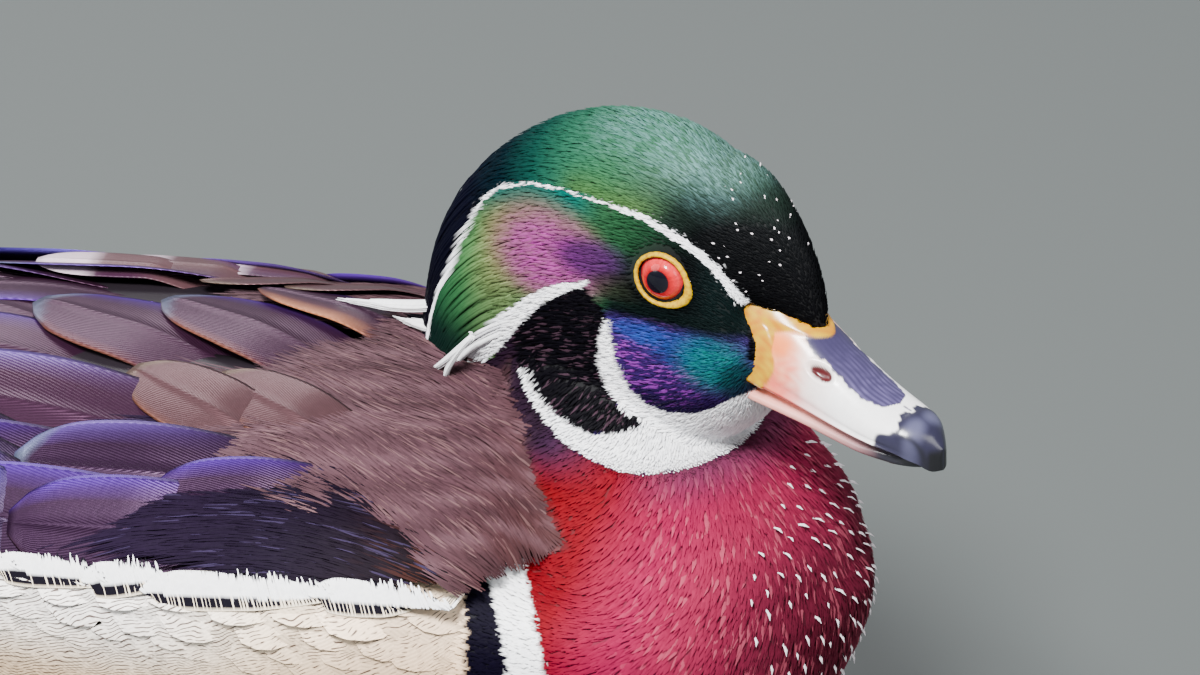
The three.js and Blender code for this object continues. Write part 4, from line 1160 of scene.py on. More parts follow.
def plumage_tint(chance):
    """Plumage colours along rounded feathers, a little darker at their roots."""
    def tint(points, along, across):
        each = np.broadcast_to(chance[:, None, None], points.shape[:3]).ravel()
        colour, gloss, waves = (v.reshape(*points.shape[:3], -1) for v in plumage(points.reshape(-1, 3), each))
        return colour * (0.94 + 0.06 * along[..., None]), gloss[..., 0], waves[..., 0]
    return tint


def body_coat():
    """Rounded feathers of the belly, flanks, rump and sides, in staggered rows."""
    places = staggered(-152, 62, 6.2, (28, 332), 7.0, torso_point)
    places += rng.normal(0, 0.5, places.shape)
    roots = torso_point(places[:, 0], places[:, 1], -BODY_COAT)
    roots[:, 2] = np.maximum(roots[:, 2], BODY_COAT)
    back = smooth(roots[:, 0], 46, 58)
    keep = rng.random(len(roots)) > back * 0.8
    roots = roots[keep]
    along, zone, uv = read_guides(roots)
    size = np.interp(roots[:, 2], (0, 30, 70), (0.8, 1.05, 1.0)) * np.interp(roots[:, 0], (-158, -100, 0), (0.7, 0.95, 1))
    chance = rng.random(len(roots))
    length = 17 * size * mix(0.9, 1.1, chance)
    width = 12.5 * size * mix(0.9, 1.1, rng.random(len(roots)))
    surface = flank_ground()
    for side in SIDES:
        pick = (over_wing(roots[:, 0], roots[:, 2]) > 0) & (roots[:, 1] * side < 0)
        roots[pick] = seen_from_side(surface, roots[pick, 0], roots[pick, 2], side)[0]
    centres, normals, tangents = march(
        roots, unit(along + 0.05 * rng.standard_normal(along.shape)), length, 6, surface,
    )
    # Each feather keeps nearly one heading, so that its rows never cross at its sides.
    tangents = unit(mix(tangents, tangents.mean(1, keepdims=True), 0.8))
    normals = unit(mix(normals, normals.mean(1, keepdims=True), 0.6))
    lifts = -0.6 + mix(1.2, 1.4, chance)[:, None] * smooth(np.linspace(0, 1, 6), 0, 0.55)
    coat = Coat("body_coat", BODY_VANE_SECTION, 0.95)
    coat.add(
        centres, normals, tangents, width, round_width, lifts, 0.12, homes_of(uv, zone), plumage_tint(chance), crown=0.009,
    )
    coat.build(vane_material)


CRESCENTS = (
    # rear and front x, height of the white's lower edge at each, and how tall the white stands
    (29.5, 55.5, 73.0, 70.8, 3.6), (-5.2, 34, 70.4, 73.2, 3.9), (-18, -1, 70.2, 73.0, 3.2), (-38, -13, 70.6, 70.8, 3.0),
    (-58, -32, 71.4, 70.8, 3.0), (-78, -52, 72.0, 71.2, 2.8), (-95, -72, 72.2, 71.4, 2.4),
)
crescent_top = profile((0, 0.1), (0.06, 0.62), (0.2, 1), (0.55, 0.92), (0.85, 0.6), (1, 0.15))
crescent_bars = profile((0, 0.2), (0.08, 1), (0.5, 0.9), (0.8, 0.5), (1, 0.1))
barb_width = profile((0, 0.7), (0.5, 1), (0.9, 0.85), (1, 0.3))


def flank_row():
    """White crescents along the top of each flank, made of barbs that are black below the white."""
    coat = Coat("flank_tips", TUFT_SECTION, 0.7)
    rows = 10
    share = np.linspace(0, 1, rows)
    for side in SIDES:
        for rear, front, rear_z, front_z, tall in CRESCENTS:
            count = int((front - rear) / 0.2)
            t = np.linspace(0, 1, count) + rng.normal(0, 0.002, count)
            line = mix(rear_z, front_z, t)
            ragged = rng.random(count) ** 3 * 1.6 * smooth(t, 0.3, 0.6)
            white, bars = tall * crescent_top(t) + ragged, 2.5 * crescent_bars(t)
            x = mix(rear, front, t)[:, None] + mix(0.9, -1.5, share)
            z = (line - bars)[:, None] + (white + bars)[:, None] * share
            inner, outer = seen_from_side(ground, x, z, side), seen_from_side(over_back, x, z, side)
            lean = np.maximum(smooth(share, -0.1, 0.3), over_wing(x, 72.0))[..., None]
            stand = mix(0.7, 1.7, smooth(share, 0.2, 0.8))[None, :, None]
            centres = mix(inner[0] + 2.2 * inner[1], outer[0] + stand * outer[1], lean)
            normals = unit(mix(inner[1], outer[1], lean))
            tangents = unit(np.gradient(centres, axis=1))
            split = (bars / (white + bars))[:, None, None]
            dark = np.sin(mix(rear, front, t) * 8.5 + 1.8 * np.sin(t * 23)) + rng.normal(0, 0.35, count) > 1.3 * smooth(t, 0.5, 0.95) - 0.75
            ticks = (rng.random(count) < 0.55) & (ragged > 0.15)

            def tint(points, along, across):
                colour = np.broadcast_to(linear(244, 228, 204), points.shape)
                colour = paint(colour, linear(16, 13, 22), dark[:, None, None] & (along < split - 0.02) & (along > 0.08))
                colour = paint(colour, WHITE, along >= split - 0.02)
                colour = paint(colour, linear(16, 13, 22), ticks[:, None, None] & (along > 0.84))
                return colour, 0.0, 0.0
            homes = homes_of(np.stack([0.5 + 0.5 * side * share[rows // 2] * np.ones(count), (x[:, 0] + 100) / 160], -1))
            coat.add(
                centres, normals, tangents, np.full(count, 0.5), barb_width, np.zeros((count, rows)), 0.12, homes, tint,
            )
    coat.build(down_material)


def seen_from_side(surface, x, z, side):
    """Points and normals where level lines from the bird's side first meet a surface."""
    reach = lambda a, b: surface.tree.ray_cast((a, -side * 120.0, b), (0, side, 0))[0]
    hits = np.array([tuple(reach(a, b)) for a, b in zip(x.ravel().tolist(), z.ravel().tolist())])
    points, normals = surface.nearest(hits)
    return points.reshape(*x.shape, 3), normals.reshape(*x.shape, 3)


def on_breast_front(points):
    x, y, z = points.T
    return ~above_collar(points, 6) * smooth(x, 108, 113) * smooth(-z, -86, -80)


def on_front_crown(points):
    x, y, z = to_head(points).T
    return above_collar(points) * smooth(x, 6, 12) * (z > 0) * (1 - smooth(x, 25, 28))


head_coat()
breast_coat()
flecks("breast_flecks", 3.9, 2.1, 0.95, on_breast_front, 1.9, 0.9)
flecks("crown_flecks", 1.2, 0.7, 0.44, on_front_crown, 0.95, 0.17)


# Outer form of the back, skin and folded wings as one, for the mantle's soft feathers to lie on

def back_ground():
    def outer(x, degrees, lift):
        low = np.minimum(degrees, 360 - degrees)
        rise = mix(0.6, 1.8, smooth(x, -5, 20)) + 1.8 * smooth(low, 42, 50) * smooth(x, -22, -6)
        return mantle_point(x, degrees, lift + rise - 6 * smooth(x, 58, 74))
    more, faces = loft(surface_rings(outer, np.linspace(-120, 73.5, 70), 96))
    points = np.concatenate([more, ground.points])
    hull = mesh_of("hull", points, outward(more, faces) + [tuple(t) for t in (ground.triangles + len(more)).tolist()])
    remesh = hull.modifiers.new("one surface", "REMESH")
    remesh.mode, remesh.voxel_size = "VOXEL", 2.0 * MM
    relax = hull.modifiers.new("relax", "SMOOTH")
    relax.factor, relax.iterations = 0.5, 8
    apply_modifiers(hull)
    read = Ground(hull)
    bpy.data.objects.remove(hull)
    return read


over_back = back_ground()


def brown_edge(x):
    """Height on the bird's side where the brown of the back gives way to black."""
    return np.interp(x, (-60, -25, 3.5, 14, 25, 37, 49, 55, 60), (97, 96, 92.5, 91, 88.5, 87, 81.5, 76.5, 74))


def back_places(points):
    """A place for each point on the back's own unwrap."""
    return np.clip(np.stack([(points[:, 1] + 75) / 150, (points[:, 0] + 60) / 140], -1), 0, 1)


def mantle_coat():
    def keep(points):
        x, y, z = points.T
        here = (z > brown_edge(x) + rng.normal(0, 1.2, len(x))) & (z < 101) & (x < brown_front(z) + 1)
        here = here & ~(above_collar(points, 1.5) & (to_head(points)[:, 0] > -46))
        outer = np.abs(y) > np.interp(x, (-4, 3, 12, 18, 26, 34), (20, 20, 20, 12, 5, -2)) + rng.normal(0, 1.0, len(x))
        return here * outer * smooth(x, -8, 10)
    roots = over_back.scatter(120000, keep)
    roots = roots[thinned(roots, np.interp(roots[:, 0], (-8, 20, 70), (0.7, 0.5, 0.5)))]
    n = len(roots)
    x, y, z = roots.T
    swirl = 0.16 * np.sin(0.16 * x + 0.1 * y) + 0.12 * np.sin(0.31 * y - 0.12 * x)
    along = np.stack([-np.ones(n), -np.sign(y) * (mix(0.5, 0.25, smooth(z, 80, 96)) + swirl), np.zeros(n)], -1)
    length = np.interp(x, (-8, 10, 50, 70), (15, 12, 9, 6.5))
    print("mantle tufts", n)
    grow_tufts(
        "mantle_coat", roots, length, np.full(n, 0.56), np.full(n, 1.5), along, homes_of(back_places(roots)), 0.14, 0.93,
        wild=0.06, over=over_back, dark_root=0.9, paint_at=lambda points, chance: (mantle_brown(points, chance), chance * 0 + 0.03, chance * 0),
    )


def side_black(points, chance):
    x = points[:, 0]
    colour = ramp(x, (-20, linear(27, 16, 36)), (20, linear(20, 12, 27)), (50, linear(18, 9, 14)))
    colour = paint(colour, linear(62, 52, 82), (chance > 0.94) * 0.4)
    colour = paint(colour, linear(84, 46, 36), (chance < 0.3) * 0.5 * smooth(x, 34, 52))
    return colour, chance * 0 + 0.1, chance * 0


def dark_sides():
    """Long hair-like black feathers between the brown of the back and the top of the flank."""
    def keep(points):
        x, y, z = points.T
        here = (z < brown_edge(x) + 2 + rng.normal(0, 1, len(x))) & (z > np.interp(x, (-10, 15, 30), (80, 78, 75.5))) & (np.abs(y) > 36)
        return here * smooth(x, -16, 6) * (x < 58)
    roots = over_back.scatter(40000, keep)
    roots = roots[thinned(roots, np.full(len(roots), 0.56))]
    n = len(roots)
    slope = np.interp(roots[:, 0], (-10, 15, 30, 50), (-0.5, -0.25, -0.05, 0.25))
    along = np.stack([-np.ones(n), np.zeros(n), slope], -1)
    print("dark strands", n)
    grow_tufts(
        "dark_sides", roots, np.interp(roots[:, 0], (-10, 55), (15, 10)), np.full(n, 0.6), np.full(n, 1.1), along,
        homes_of(back_places(roots)), 0.16, 0.85, wild=0.035, over=over_back, paint_at=side_black, dark_root=0.8,
    )


# Crest and the white plumes that end it

def crest_colours(points, chance):
    x, y, z = to_head(points).T
    colour, gloss = head_colours(np.maximum(x, -63 + 0.05 * z), y, z, chance)
    return colour, gloss, gloss * 0


def crest():
    count, rows = 5200, 9
    degrees = rng.uniform(-88, 88, count)
    ends = np.interp(np.abs(degrees), (0, 40, 70, 88), (1.0, 0.98, 0.93, 0.86)) + rng.normal(0, 0.014, count)
    starts = mix(0.56, 0.88, rng.random(count) ** 0.8)
    ends = np.minimum(starts + rng.uniform(0.2, 0.3, count), ends)
    keep = ends - starts > 0.06
    degrees, starts, ends = degrees[keep], starts[keep], ends[keep]
    share = np.linspace(0, 1, rows)
    u = mix(starts[:, None], ends[:, None], share)
    turn = degrees[:, None] * (1 - 0.5 * np.maximum(u - 0.84, 0))
    centres = crest_point(u, turn, 0.0)
    normals = unit(crest_point(u, turn, 1.0) - centres)
    tangents = unit(np.gradient(centres, axis=1))
    lifts = mix(-0.9, rng.uniform(0.0, 0.9, len(u))[:, None], smooth(share, 0, 0.7))
    chance = rng.random(len(u))
    width = rng.uniform(0.7, 1.1, len(u))
    homes = homes_of(np.stack([degrees / 180 + 0.5, (starts - 0.5) / 0.5], -1))
    for part in range(2):
        pick = slice(part, None, 2)

        def tint(points, along, across):
            each = np.repeat(chance[pick], rows)
            colour, gloss, _ = crest_colours(points[:, :, 1].reshape(-1, 3), each)
            colour, gloss = colour.reshape(-1, rows, 1, 3), gloss.reshape(-1, rows, 1)
            return colour * mix(0.7, 1.05, along[..., None]), gloss * np.ones(3), 0.0

        coat = Coat(f"crest_{part + 1}", TUFT_SECTION, 0.4)
        coat.add(
            centres[pick], normals[pick], tangents[pick], width[pick], long_width, lifts[pick], 0.25, homes[pick], tint,
        )
        coat.build(down_material)


def plume(coat, places, width, count, colour, start):
    """A flat lock of fine strands along a curve through three places, tapering to its tip."""
    rows = 12
    root, bend, tip = (np.array(place, float) for place in places)
    spread = rng.uniform(-1, 1, count)
    reach = rng.uniform(0.78, 1.0, count) * (1 - 0.18 * np.abs(spread))
    t = np.linspace(0, 1, rows)[None] * reach[:, None]
    t = t[..., None]
    centres = (1 - t) ** 2 * root + 2 * t * (1 - t) * bend + t ** 2 * tip
    tangents = unit(np.gradient(centres, axis=1))
    upward = unit(np.array([0.1, -0.55, 1.0]) - tangents * (tangents @ np.array([0.1, -0.55, 1.0]))[..., None])
    sides = np.cross(upward, tangents)
    fan = width / 2 * (0.55 + 0.9 * t[..., 0] * (1 - t[..., 0])) * (1 - 0.55 * t[..., 0] ** 2)
    centres = centres + sides * (spread[:, None] * fan)[..., None]
    lifts = np.broadcast_to(rng.uniform(-0.5, 0.5, count)[:, None], (count, rows))
    tone = rng.uniform(0.86, 1.0, count)[:, None, None, None]
    homes = np.full((count, 2), start) + rng.uniform(0, 0.02, (count, 2))
    coat.add(
        centres, upward, tangents, rng.uniform(0.6, 0.9, count), long_width, lifts, 0.22, homes,
        lambda points, along, across: (colour * tone * mix(0.9, 1, along[..., None]), 0.0, 0.0),
    )


def plumes():
    coat = Coat("crest_plumes", TUFT_SECTION, 0.4)
    navy = linear(12, 12, 26)
    plume(coat, ((40, -3, 112), (31, 9, 103), (9, 15, 101.4)), 3.2, 110, WHITE, 0.1)
    plume(coat, ((46, -9, 108), (37, 3, 101.5), (22, 11, 100.6)), 4.0, 110, WHITE, 0.3)
    plume(coat, ((44, -6, 110), (34, 6, 102), (24, 13, 100.4)), 3.0, 60, navy, 0.5)
    for side, start in ((RIGHT, 0.6), (LEFT, 0.8)):
        for foot in ((-54.5, -22, -36.5), (-50.5, -22.5, -39.5)):
            places = [np.array(place) * (1, side, 1) for place in ((-41, -24.4, -23.0), (-48, -25.4, -31.0), foot)]
            plume(coat, [from_head(place) for place in places], 1.9, 44, WHITE, start)
    coat.build(down_material)


body_coat()
mantle_coat()
dark_sides()
crest()
plumes()


# Feathers laid on a form from one place to another

def laid_feathers(
    coat, surface, froms, tos, widths, shape, rows, levels, thick, tint, sunk=0.8, tilt=None, crown=0.006, risen=0.42,
):
    """Feathers on a surface given by two coordinates, each from its root's place to its tip's."""
    share = np.linspace(0, 1, rows)
    a = mix(froms[:, None, 0], tos[:, None, 0], share[None])
    b = mix(froms[:, None, 1], tos[:, None, 1], share[None])
    centres = surface(a, b, 0.0)
    normals = unit(surface(a, b, 1.0) - centres)
    tangents = unit(np.gradient(centres, axis=1))
    lifts = mix(-sunk, levels[:, None], smooth(share, 0, risen)[None])
    if tilt is not None:
        normals = unit(normals + np.cross(tangents, normals) * tilt[:, None, None])
    places = (froms - froms.min(0)) / np.maximum(np.ptp(froms, axis=0), 1e-6)
    coat.add(centres, normals, tangents, widths, shape, lifts, thick, homes_of(places), tint, crown=crown)


def tier(count, start, end, width, level, vary=0.03):
    """Places of a row of feathers between its lowest and its highest, varied a little."""
    share = np.linspace(0, 1, count)
    ends = [np.stack([mix(np.array(place[0])[k], np.array(place[1])[k], share) for k in (0, 1)], -1) for place in (start, end)]
    ends[1][:, 0] += rng.uniform(-1, 1, count) * vary * np.abs(ends[1][:, 0] - ends[0][:, 0])
    widths = mix(width[0], width[1], share) * (1 + 0.5 * vary * rng.uniform(-1, 1, count))
    return ends[0], ends[1], widths, mix(level[0], level[1], share)


def on_side(side, places):
    return places * np.array([1, side])


# Colours of a vane by its place on it: along from root to tip, and across from its lower edge to its upper one

def graded(base, edge, tip, edge_from=0.55, tip_from=0.82, gloss=0.4, edge_side=1):
    def tint(points, along, across):
        each = rng.uniform(0.85, 1.12, (len(points), 1, 1, 1))
        colour = np.broadcast_to(base, points.shape)
        colour = paint(colour, edge, smooth(across * edge_side, edge_from - 0.3, edge_from + 0.3) * smooth(along, 0.25, 0.5))
        colour = paint(colour, tip, smooth(along, tip_from - 0.06, tip_from + 0.06))
        return colour * each, gloss, 0.0
    return tint


def edged(base, edge, tip, edge_side, lower=0.5):
    """A broad back feather with a bright upper edge, a thin tan lower one and a pale rounded tip."""
    def tint(points, along, across):
        toward = across * edge_side
        colour = np.broadcast_to(base, points.shape) * mix(0.8, 1.1, along[..., None])
        colour = paint(colour, edge, smooth(toward, 0.6, 1.05) * smooth(along, 0.25, 0.8) * 0.9)
        tan = smooth(-toward, 0.9 - 0.5 * smooth(lower, 0.5, 1), 0.97) * smooth(along, 0.3, 0.6) * min(lower, 0.8)
        colour = paint(colour, linear(176, 112, 76), tan)
        rim = smooth(np.hypot(across * 0.66, (along - 0.62) / 0.38), 0.86, 1.0) * (along > 0.62) * 0.6
        colour = paint(colour, tip, rim)
        return colour, 0.55, 0.0
    return tint


scapular_width = profile((0, 0.4), (0.2, 0.8), (0.55, 1), (0.8, 0.92), (0.93, 0.62), (1, 0.22))

WING_TIERS = (
    # count, from, to, width, level, shape, base, edge, tip, tip_from, gloss
    (
        "primaries", 9, [[-92, 59], [-126, 44]], [[-212, 56], [-182, 40]], (14, 15), (0.6, 5.4), pointed_width,
        linear(52, 50, 56), linear(168, 172, 180), linear(40, 48, 78), 0.86, 0.35,
    ),
    (
        "secondaries", 9, [[-42, 58], [-80, 39]], [[-102, 60], [-152, 34]], (17, 18), (0.8, 1.6), long_width,
        linear(34, 30, 44), linear(52, 60, 150), linear(226, 228, 236), 0.93, 0.6,
    ),
    (
        "tertials", 6, [[-52, 33], [-48, 15]], [[-150, 30], [-116, 11]], (19, 18), (1.8, 3.0), long_width,
        linear(56, 38, 52), linear(92, 86, 176), linear(60, 66, 120), 0.9, 0.6,
    ),
    (
        "greater_coverts", 5, [[-24, 60], [-36, 42]], [[-72, 62], [-96, 42]], (23, 23), (1.3, 1.6), round_width,
        linear(36, 20, 44), linear(50, 34, 110), linear(30, 20, 46), 0.9, 0.5,
    ),
)
MAUVE, DUSK, BROWN = linear(56, 29, 50), linear(38, 17, 40), linear(80, 54, 58)
VIOLET, SKY, TEAL_GREY, OLIVE_TAN = linear(76, 36, 142), linear(96, 68, 150), linear(100, 112, 136), linear(104, 90, 76)
SCAPULARS = (
    # root, tip, width, level, base, upper edge, tip colour, both as (x, degrees), from the lowest up
    ((22, 58), (-62, 60), 23, 1.0, DUSK, VIOLET, VIOLET),
    ((-8, 44), (-78, 52), 23, 1.2, DUSK, VIOLET, DUSK),
    ((-30, 24), (-98, 30), 25, 1.3, MAUVE, SKY, TEAL_GREY),
    ((-16, 14), (-86, 10), 25, 1.6, MAUVE, VIOLET, TEAL_GREY),
    ((24, 54), (-37, 61), 22, 1.7, DUSK, VIOLET, DUSK),
    ((10, 34), (-73, 26), 27, 1.9, MAUVE, SKY, TEAL_GREY),
    ((26, 41), (-39, 46), 23, 2.2, DUSK, SKY, TEAL_GREY),
    ((44, 44), (-9, 50), 19, 2.3, DUSK, VIOLET, DUSK),
    ((24, 37), (-22.5, 17), 18, 2.9, BROWN, BROWN, OLIVE_TAN),
    ((40, 36), (-4.5, 17), 17, 3.2, BROWN, BROWN, OLIVE_TAN),
)
MIDDLE = (
    # feathers of the midline, from the rearmost forward, and how tan their lower edges are
    ((-78, 0), (-140, 0), 26, 1.2, MAUVE, MAUVE, TEAL_GREY, 0.3),
    ((-50, 2), (-112, 3), 26, 1.7, MAUVE, VIOLET, TEAL_GREY, 0.3),
    ((-24, 5), (-84, -4), 26, 2.2, MAUVE, VIOLET, TEAL_GREY, 0.4),
    ((6, 11), (-51, -2.5), 25, 2.7, MAUVE, VIOLET, TEAL_GREY, 0.4),
    ((30, 9), (-25, -6), 24, 3.2, MAUVE, VIOLET, TEAL_GREY, 0.5),
    ((46, -1), (-8, -14), 20, 3.6, MAUVE, SKY, MAUVE, 1.0),
)
FAR_PATCHES = (
    # pale-tipped feathers of the left shoulder, as root and tip
    ((-20, -26), (-60, -24)), ((-8, -32), (-46, -29)), ((10, -38), (-31, -36)),
)
WING_SHOULDER, WING_END = 74, -178
wing_upper = profile((-178, 22), (-110, 7), (0, 7), (45, 16), (74, 40))
wing_lower = profile((-178, 58), (-110, 68), (-40, 67), (30, 65), (60, 59), (74, 50))
wing_thick = profile((-178, 0.8), (-150, 2.5), (-110, 5), (-40, 8), (30, 10), (74, 7))


def wing_core(side):
    """The wing's own flesh, a curved slab that its feathers grow from."""
    xs = np.linspace(WING_END, WING_SHOULDER, 60)
    share = np.linspace(0, 1, 24)
    x, s = np.meshgrid(xs, share, indexing="ij")
    degrees = side * mix(wing_upper(x), wing_lower(x), s)
    tuck = 1.8 * smooth(s, 0.8, 1) + 5 * smooth(x, 50, 72)
    top = mantle_point(x, degrees, -tuck)
    bottom = mantle_point(x, degrees, -tuck - wing_thick(x))
    points, faces = slab(top, bottom)
    core = mesh_of(f"wing_core_{SIDES[side]}", points, outward(points, faces))
    colour = np.broadcast_to(linear(34, 28, 34), points.shape)
    set_looks(core, colour, np.full(len(points), 0.2), np.zeros(len(points)))
    core.data.materials.append(vane_material)
    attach(core, "root")
    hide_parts(f"wing_{SIDES[side]}")


def wing_feathers(side):
    coat = Coat(f"wing_feathers_{SIDES[side]}", VANE_SECTION)
    for _, count, start, end, width, level, shape, base, edge, tip, tip_from, gloss in WING_TIERS:
        roots, tips, widths, levels = tier(count, start, end, width, level)
        tilt = np.full(count, side * 0.05)
        laid_feathers(
            coat, mantle_point, on_side(side, roots), on_side(side, tips), widths, shape, 20, levels, 0.35,
            graded(base, edge, tip, tip_from=tip_from, gloss=gloss, edge_side=-side), tilt=tilt,
        )
    for root, tip, width, level, base, edge, tip_colour in SCAPULARS:
        laid_feathers(
            coat, mantle_point, on_side(side, np.array([root], float)), on_side(side, np.array([tip], float)),
            np.array([float(width)]), scapular_width, 36, np.array([level]), 0.4,
            edged(base, edge, tip_colour, -side, 0.12 if base is DUSK else 0.5), tilt=np.array([side * 0.03]),
            sunk=2.5, risen=0.62,
        )
    coat.build(quill_material)


def midline_feathers():
    coat = Coat("midline_feathers", VANE_SECTION)
    for root, tip, width, level, base, edge, tip_colour, tan in MIDDLE:
        laid_feathers(
            coat, mantle_point, np.array([root], float), np.array([tip], float), np.array([float(width)]),
            scapular_width, 36, np.array([level]), 0.4, edged(base, edge, tip_colour, -1, tan), sunk=2.5, risen=0.62,
        )
    for root, tip in FAR_PATCHES:
        laid_feathers(
            coat, mantle_point, np.array([root], float), np.array([tip], float), np.array([15.0]),
            scapular_width, 24, np.array([3.4]), 0.4, graded(BROWN, MAUVE, linear(188, 168, 180), 0.6, 0.7, 0.1),
            tilt=np.array([-0.42]),
        )
    coat.build(quill_material)


midline_feathers()
for side in SIDES:
    wing_core(side)
    wing_feathers(side)


# Tail

TAIL_X, TAIL_Z, TAIL_RISE, TAIL_DROOP = -148, 67, math.radians(10), 0.0042


def tail_point(back, across, lift=0.0):
    height = lift - TAIL_DROOP * across ** 2
    x = TAIL_X - back * math.cos(TAIL_RISE) - height * math.sin(TAIL_RISE)
    z = TAIL_Z + back * math.sin(TAIL_RISE) + height * math.cos(TAIL_RISE)
    return np.stack(np.broadcast_arrays(x, across, z), -1)


def tail_core():
    half = profile((-14, 13), (20, 16), (60, 15))
    top = profile((-14, 11), (12, 6.5), (60, 0))
    bottom = profile((-14, -11), (12, -8), (60, -4.6))
    degrees = np.arange(32) * 360 / 32
    rings = []
    for back in np.linspace(-14, 60, 24):
        mid, high = (top(back) + bottom(back)) / 2, (top(back) - bottom(back)) / 2
        across = half(back) * 0.96 * np.sin(np.radians(degrees))
        rings.append(tail_point(np.full(32, back), across, mid + high * 0.96 * np.cos(np.radians(degrees))))
    points, faces = loft(rings)
    core = mesh_of("tail_core", points, outward(points, faces))
    set_looks(core, np.broadcast_to(linear(22, 22, 26), points.shape), np.full(len(points), 0.2), np.zeros(len(points)))
    core.data.materials.append(vane_material)
    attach(core, "root")
    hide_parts("tail")


def tail_feathers():
    coat = Coat("tail_feathers", VANE_SECTION)
    long_tint = graded(linear(20, 22, 26), linear(20, 52, 48), linear(16, 18, 22), gloss=0.5)
    for side in SIDES:
        place = np.linspace(0.5, 7.5, 8)
        froms = np.stack([np.full(8, 12.0), side * 1.3 * place], -1)
        tos = np.stack([104 - 2.0 * place * rng.uniform(0.9, 1.1, 8), side * 4.3 * place], -1)
        levels = -0.6 * (place - 0.5 + (side == LEFT) * 0.5)
        laid_feathers(coat, tail_point, froms, tos, np.full(8, 12.5), long_width, 22, levels, 0.3, long_tint, sunk=2.2, crown=0.002)
    covert_tint = graded(linear(20, 26, 28), linear(20, 60, 52), linear(14, 18, 22), gloss=0.5)
    under_tint = graded(linear(84, 68, 58), linear(100, 82, 70), linear(60, 50, 46), gloss=0.05)
    for count, start, end, roots, tips, width, level, tint in (
        (7, 12, 64, 12, 17, 11, 1.6, covert_tint), (6, 2, 48, 11, 15, 12, 3.2, covert_tint),
        (5, -8, 34, 10, 13, 13, 5.0, covert_tint),
        (6, 10, 60, 11, 15, 12, -7.2, under_tint), (5, 0, 46, 9, 11, 13, -8.6, under_tint),
        (4, -8, 34, 8, 9, 14, -10.2, under_tint),
    ):
        spread = np.linspace(-1, 1, count)
        froms = np.stack([np.full(count, float(start)), spread * roots], -1)
        tos = np.stack([end - 4 * spread ** 2 + rng.uniform(-2, 2, count), spread * tips], -1)
        sunk = math.copysign(1.5, level) - level
        laid_feathers(
            coat, tail_point, froms, tos, np.full(count, float(width)), round_width, 14,
            np.full(count, float(level)), 0.3, tint, sunk=sunk,
        )
    coat.build(quill_material)


tail_core()
tail_feathers()
flank_row()


# Eyes and lids

EYE_FORWARD, EYE_UPWARD = 13, 3
LID_REACH, LID_THICK, LID_POLAR = 7.15, 0.6, 52.5


def eye_axes(side):
    out = unit(np.array([
        math.sin(math.radians(EYE_FORWARD)), -side * math.cos(math.radians(EYE_FORWARD)), 0.05,
    ]))
    forward = np.cross((0, 0, 1), out) * side
    forward = unit(forward if forward[0] > 0 else -forward)
    upward = unit(np.array([0, 0, 1]) - out * out[2])
    return out, forward, upward


def eyeball(side):
    out, forward, upward = eye_axes(side)
    polar = np.radians(np.concatenate([np.linspace(0.5, 60, 60), np.linspace(64, 179, 24)]))
    turn = np.radians(np.arange(64) * 360 / 64)
    bulge = 0.35 * (1 - smooth(np.degrees(polar), 30, 52))
    radial = np.cos(turn)[:, None] * forward + np.sin(turn)[:, None] * upward
    centre = np.array([0, -side * EYE_Y, 0])
    rings = np.array([
        centre + (EYE_RADIUS - 0.15 + b) * (math.cos(p) * out + math.sin(p) * radial) for p, b in zip(polar, bulge)
    ])
    points, faces = loft(from_head(rings))
    obj = mesh_of(f"eyeball_{SIDES[side]}", points, outward(points, faces))
    degrees = np.concatenate([np.repeat(np.degrees(polar), 64), [0, 180]])
    pattern = np.concatenate([np.tile(rng.random(64), len(polar)), [0.5, 0.5]])
    iris = ramp(
        degrees, (21, linear(60, 2, 8)), (24, linear(150, 6, 14)), (32, linear(192, 24, 34)),
        (42, linear(204, 50, 58)), (53, linear(170, 14, 22)), (57, linear(60, 2, 6)), (60, linear(8, 3, 6)),
    )
    iris = iris * mix(0.82, 1.12, pattern)[:, None]
    colour = np.where((degrees < 22.5)[:, None], linear(6, 6, 16), iris)
    set_looks(obj, colour, degrees * 0, degrees * 0)
    material, nodes, links, shader = new_material(
        f"eye_{SIDES[side]}", 0.3, Specular_IOR_Level=0.1, Coat_Weight=1.0, Coat_Roughness=0.02, Coat_IOR=1.33,
    )
    tone = node(nodes, "ShaderNodeTexNoise", Scale=2600.0, Detail=4.0)
    coordinates = nodes.new("ShaderNodeTexCoord")
    links.new(coordinates.outputs["Object"], tone.inputs["Vector"])
    paint_in = node(nodes, "ShaderNodeVertexColor", layer_name="Col").outputs["Color"]
    varied = node(nodes, "ShaderNodeMapRange")
    varied.inputs["To Min"].default_value, varied.inputs["To Max"].default_value = 0.7, 1.25
    links.new(tone.outputs["Fac"], varied.inputs["Value"])
    links.new(blend_colour(nodes, links, 1.0, paint_in, varied.outputs["Result"], "MULTIPLY"), shader.inputs["Base Color"])
    obj.data.materials.append(material)
    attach(obj, "root")
    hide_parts(f"eye_{SIDES[side]}")


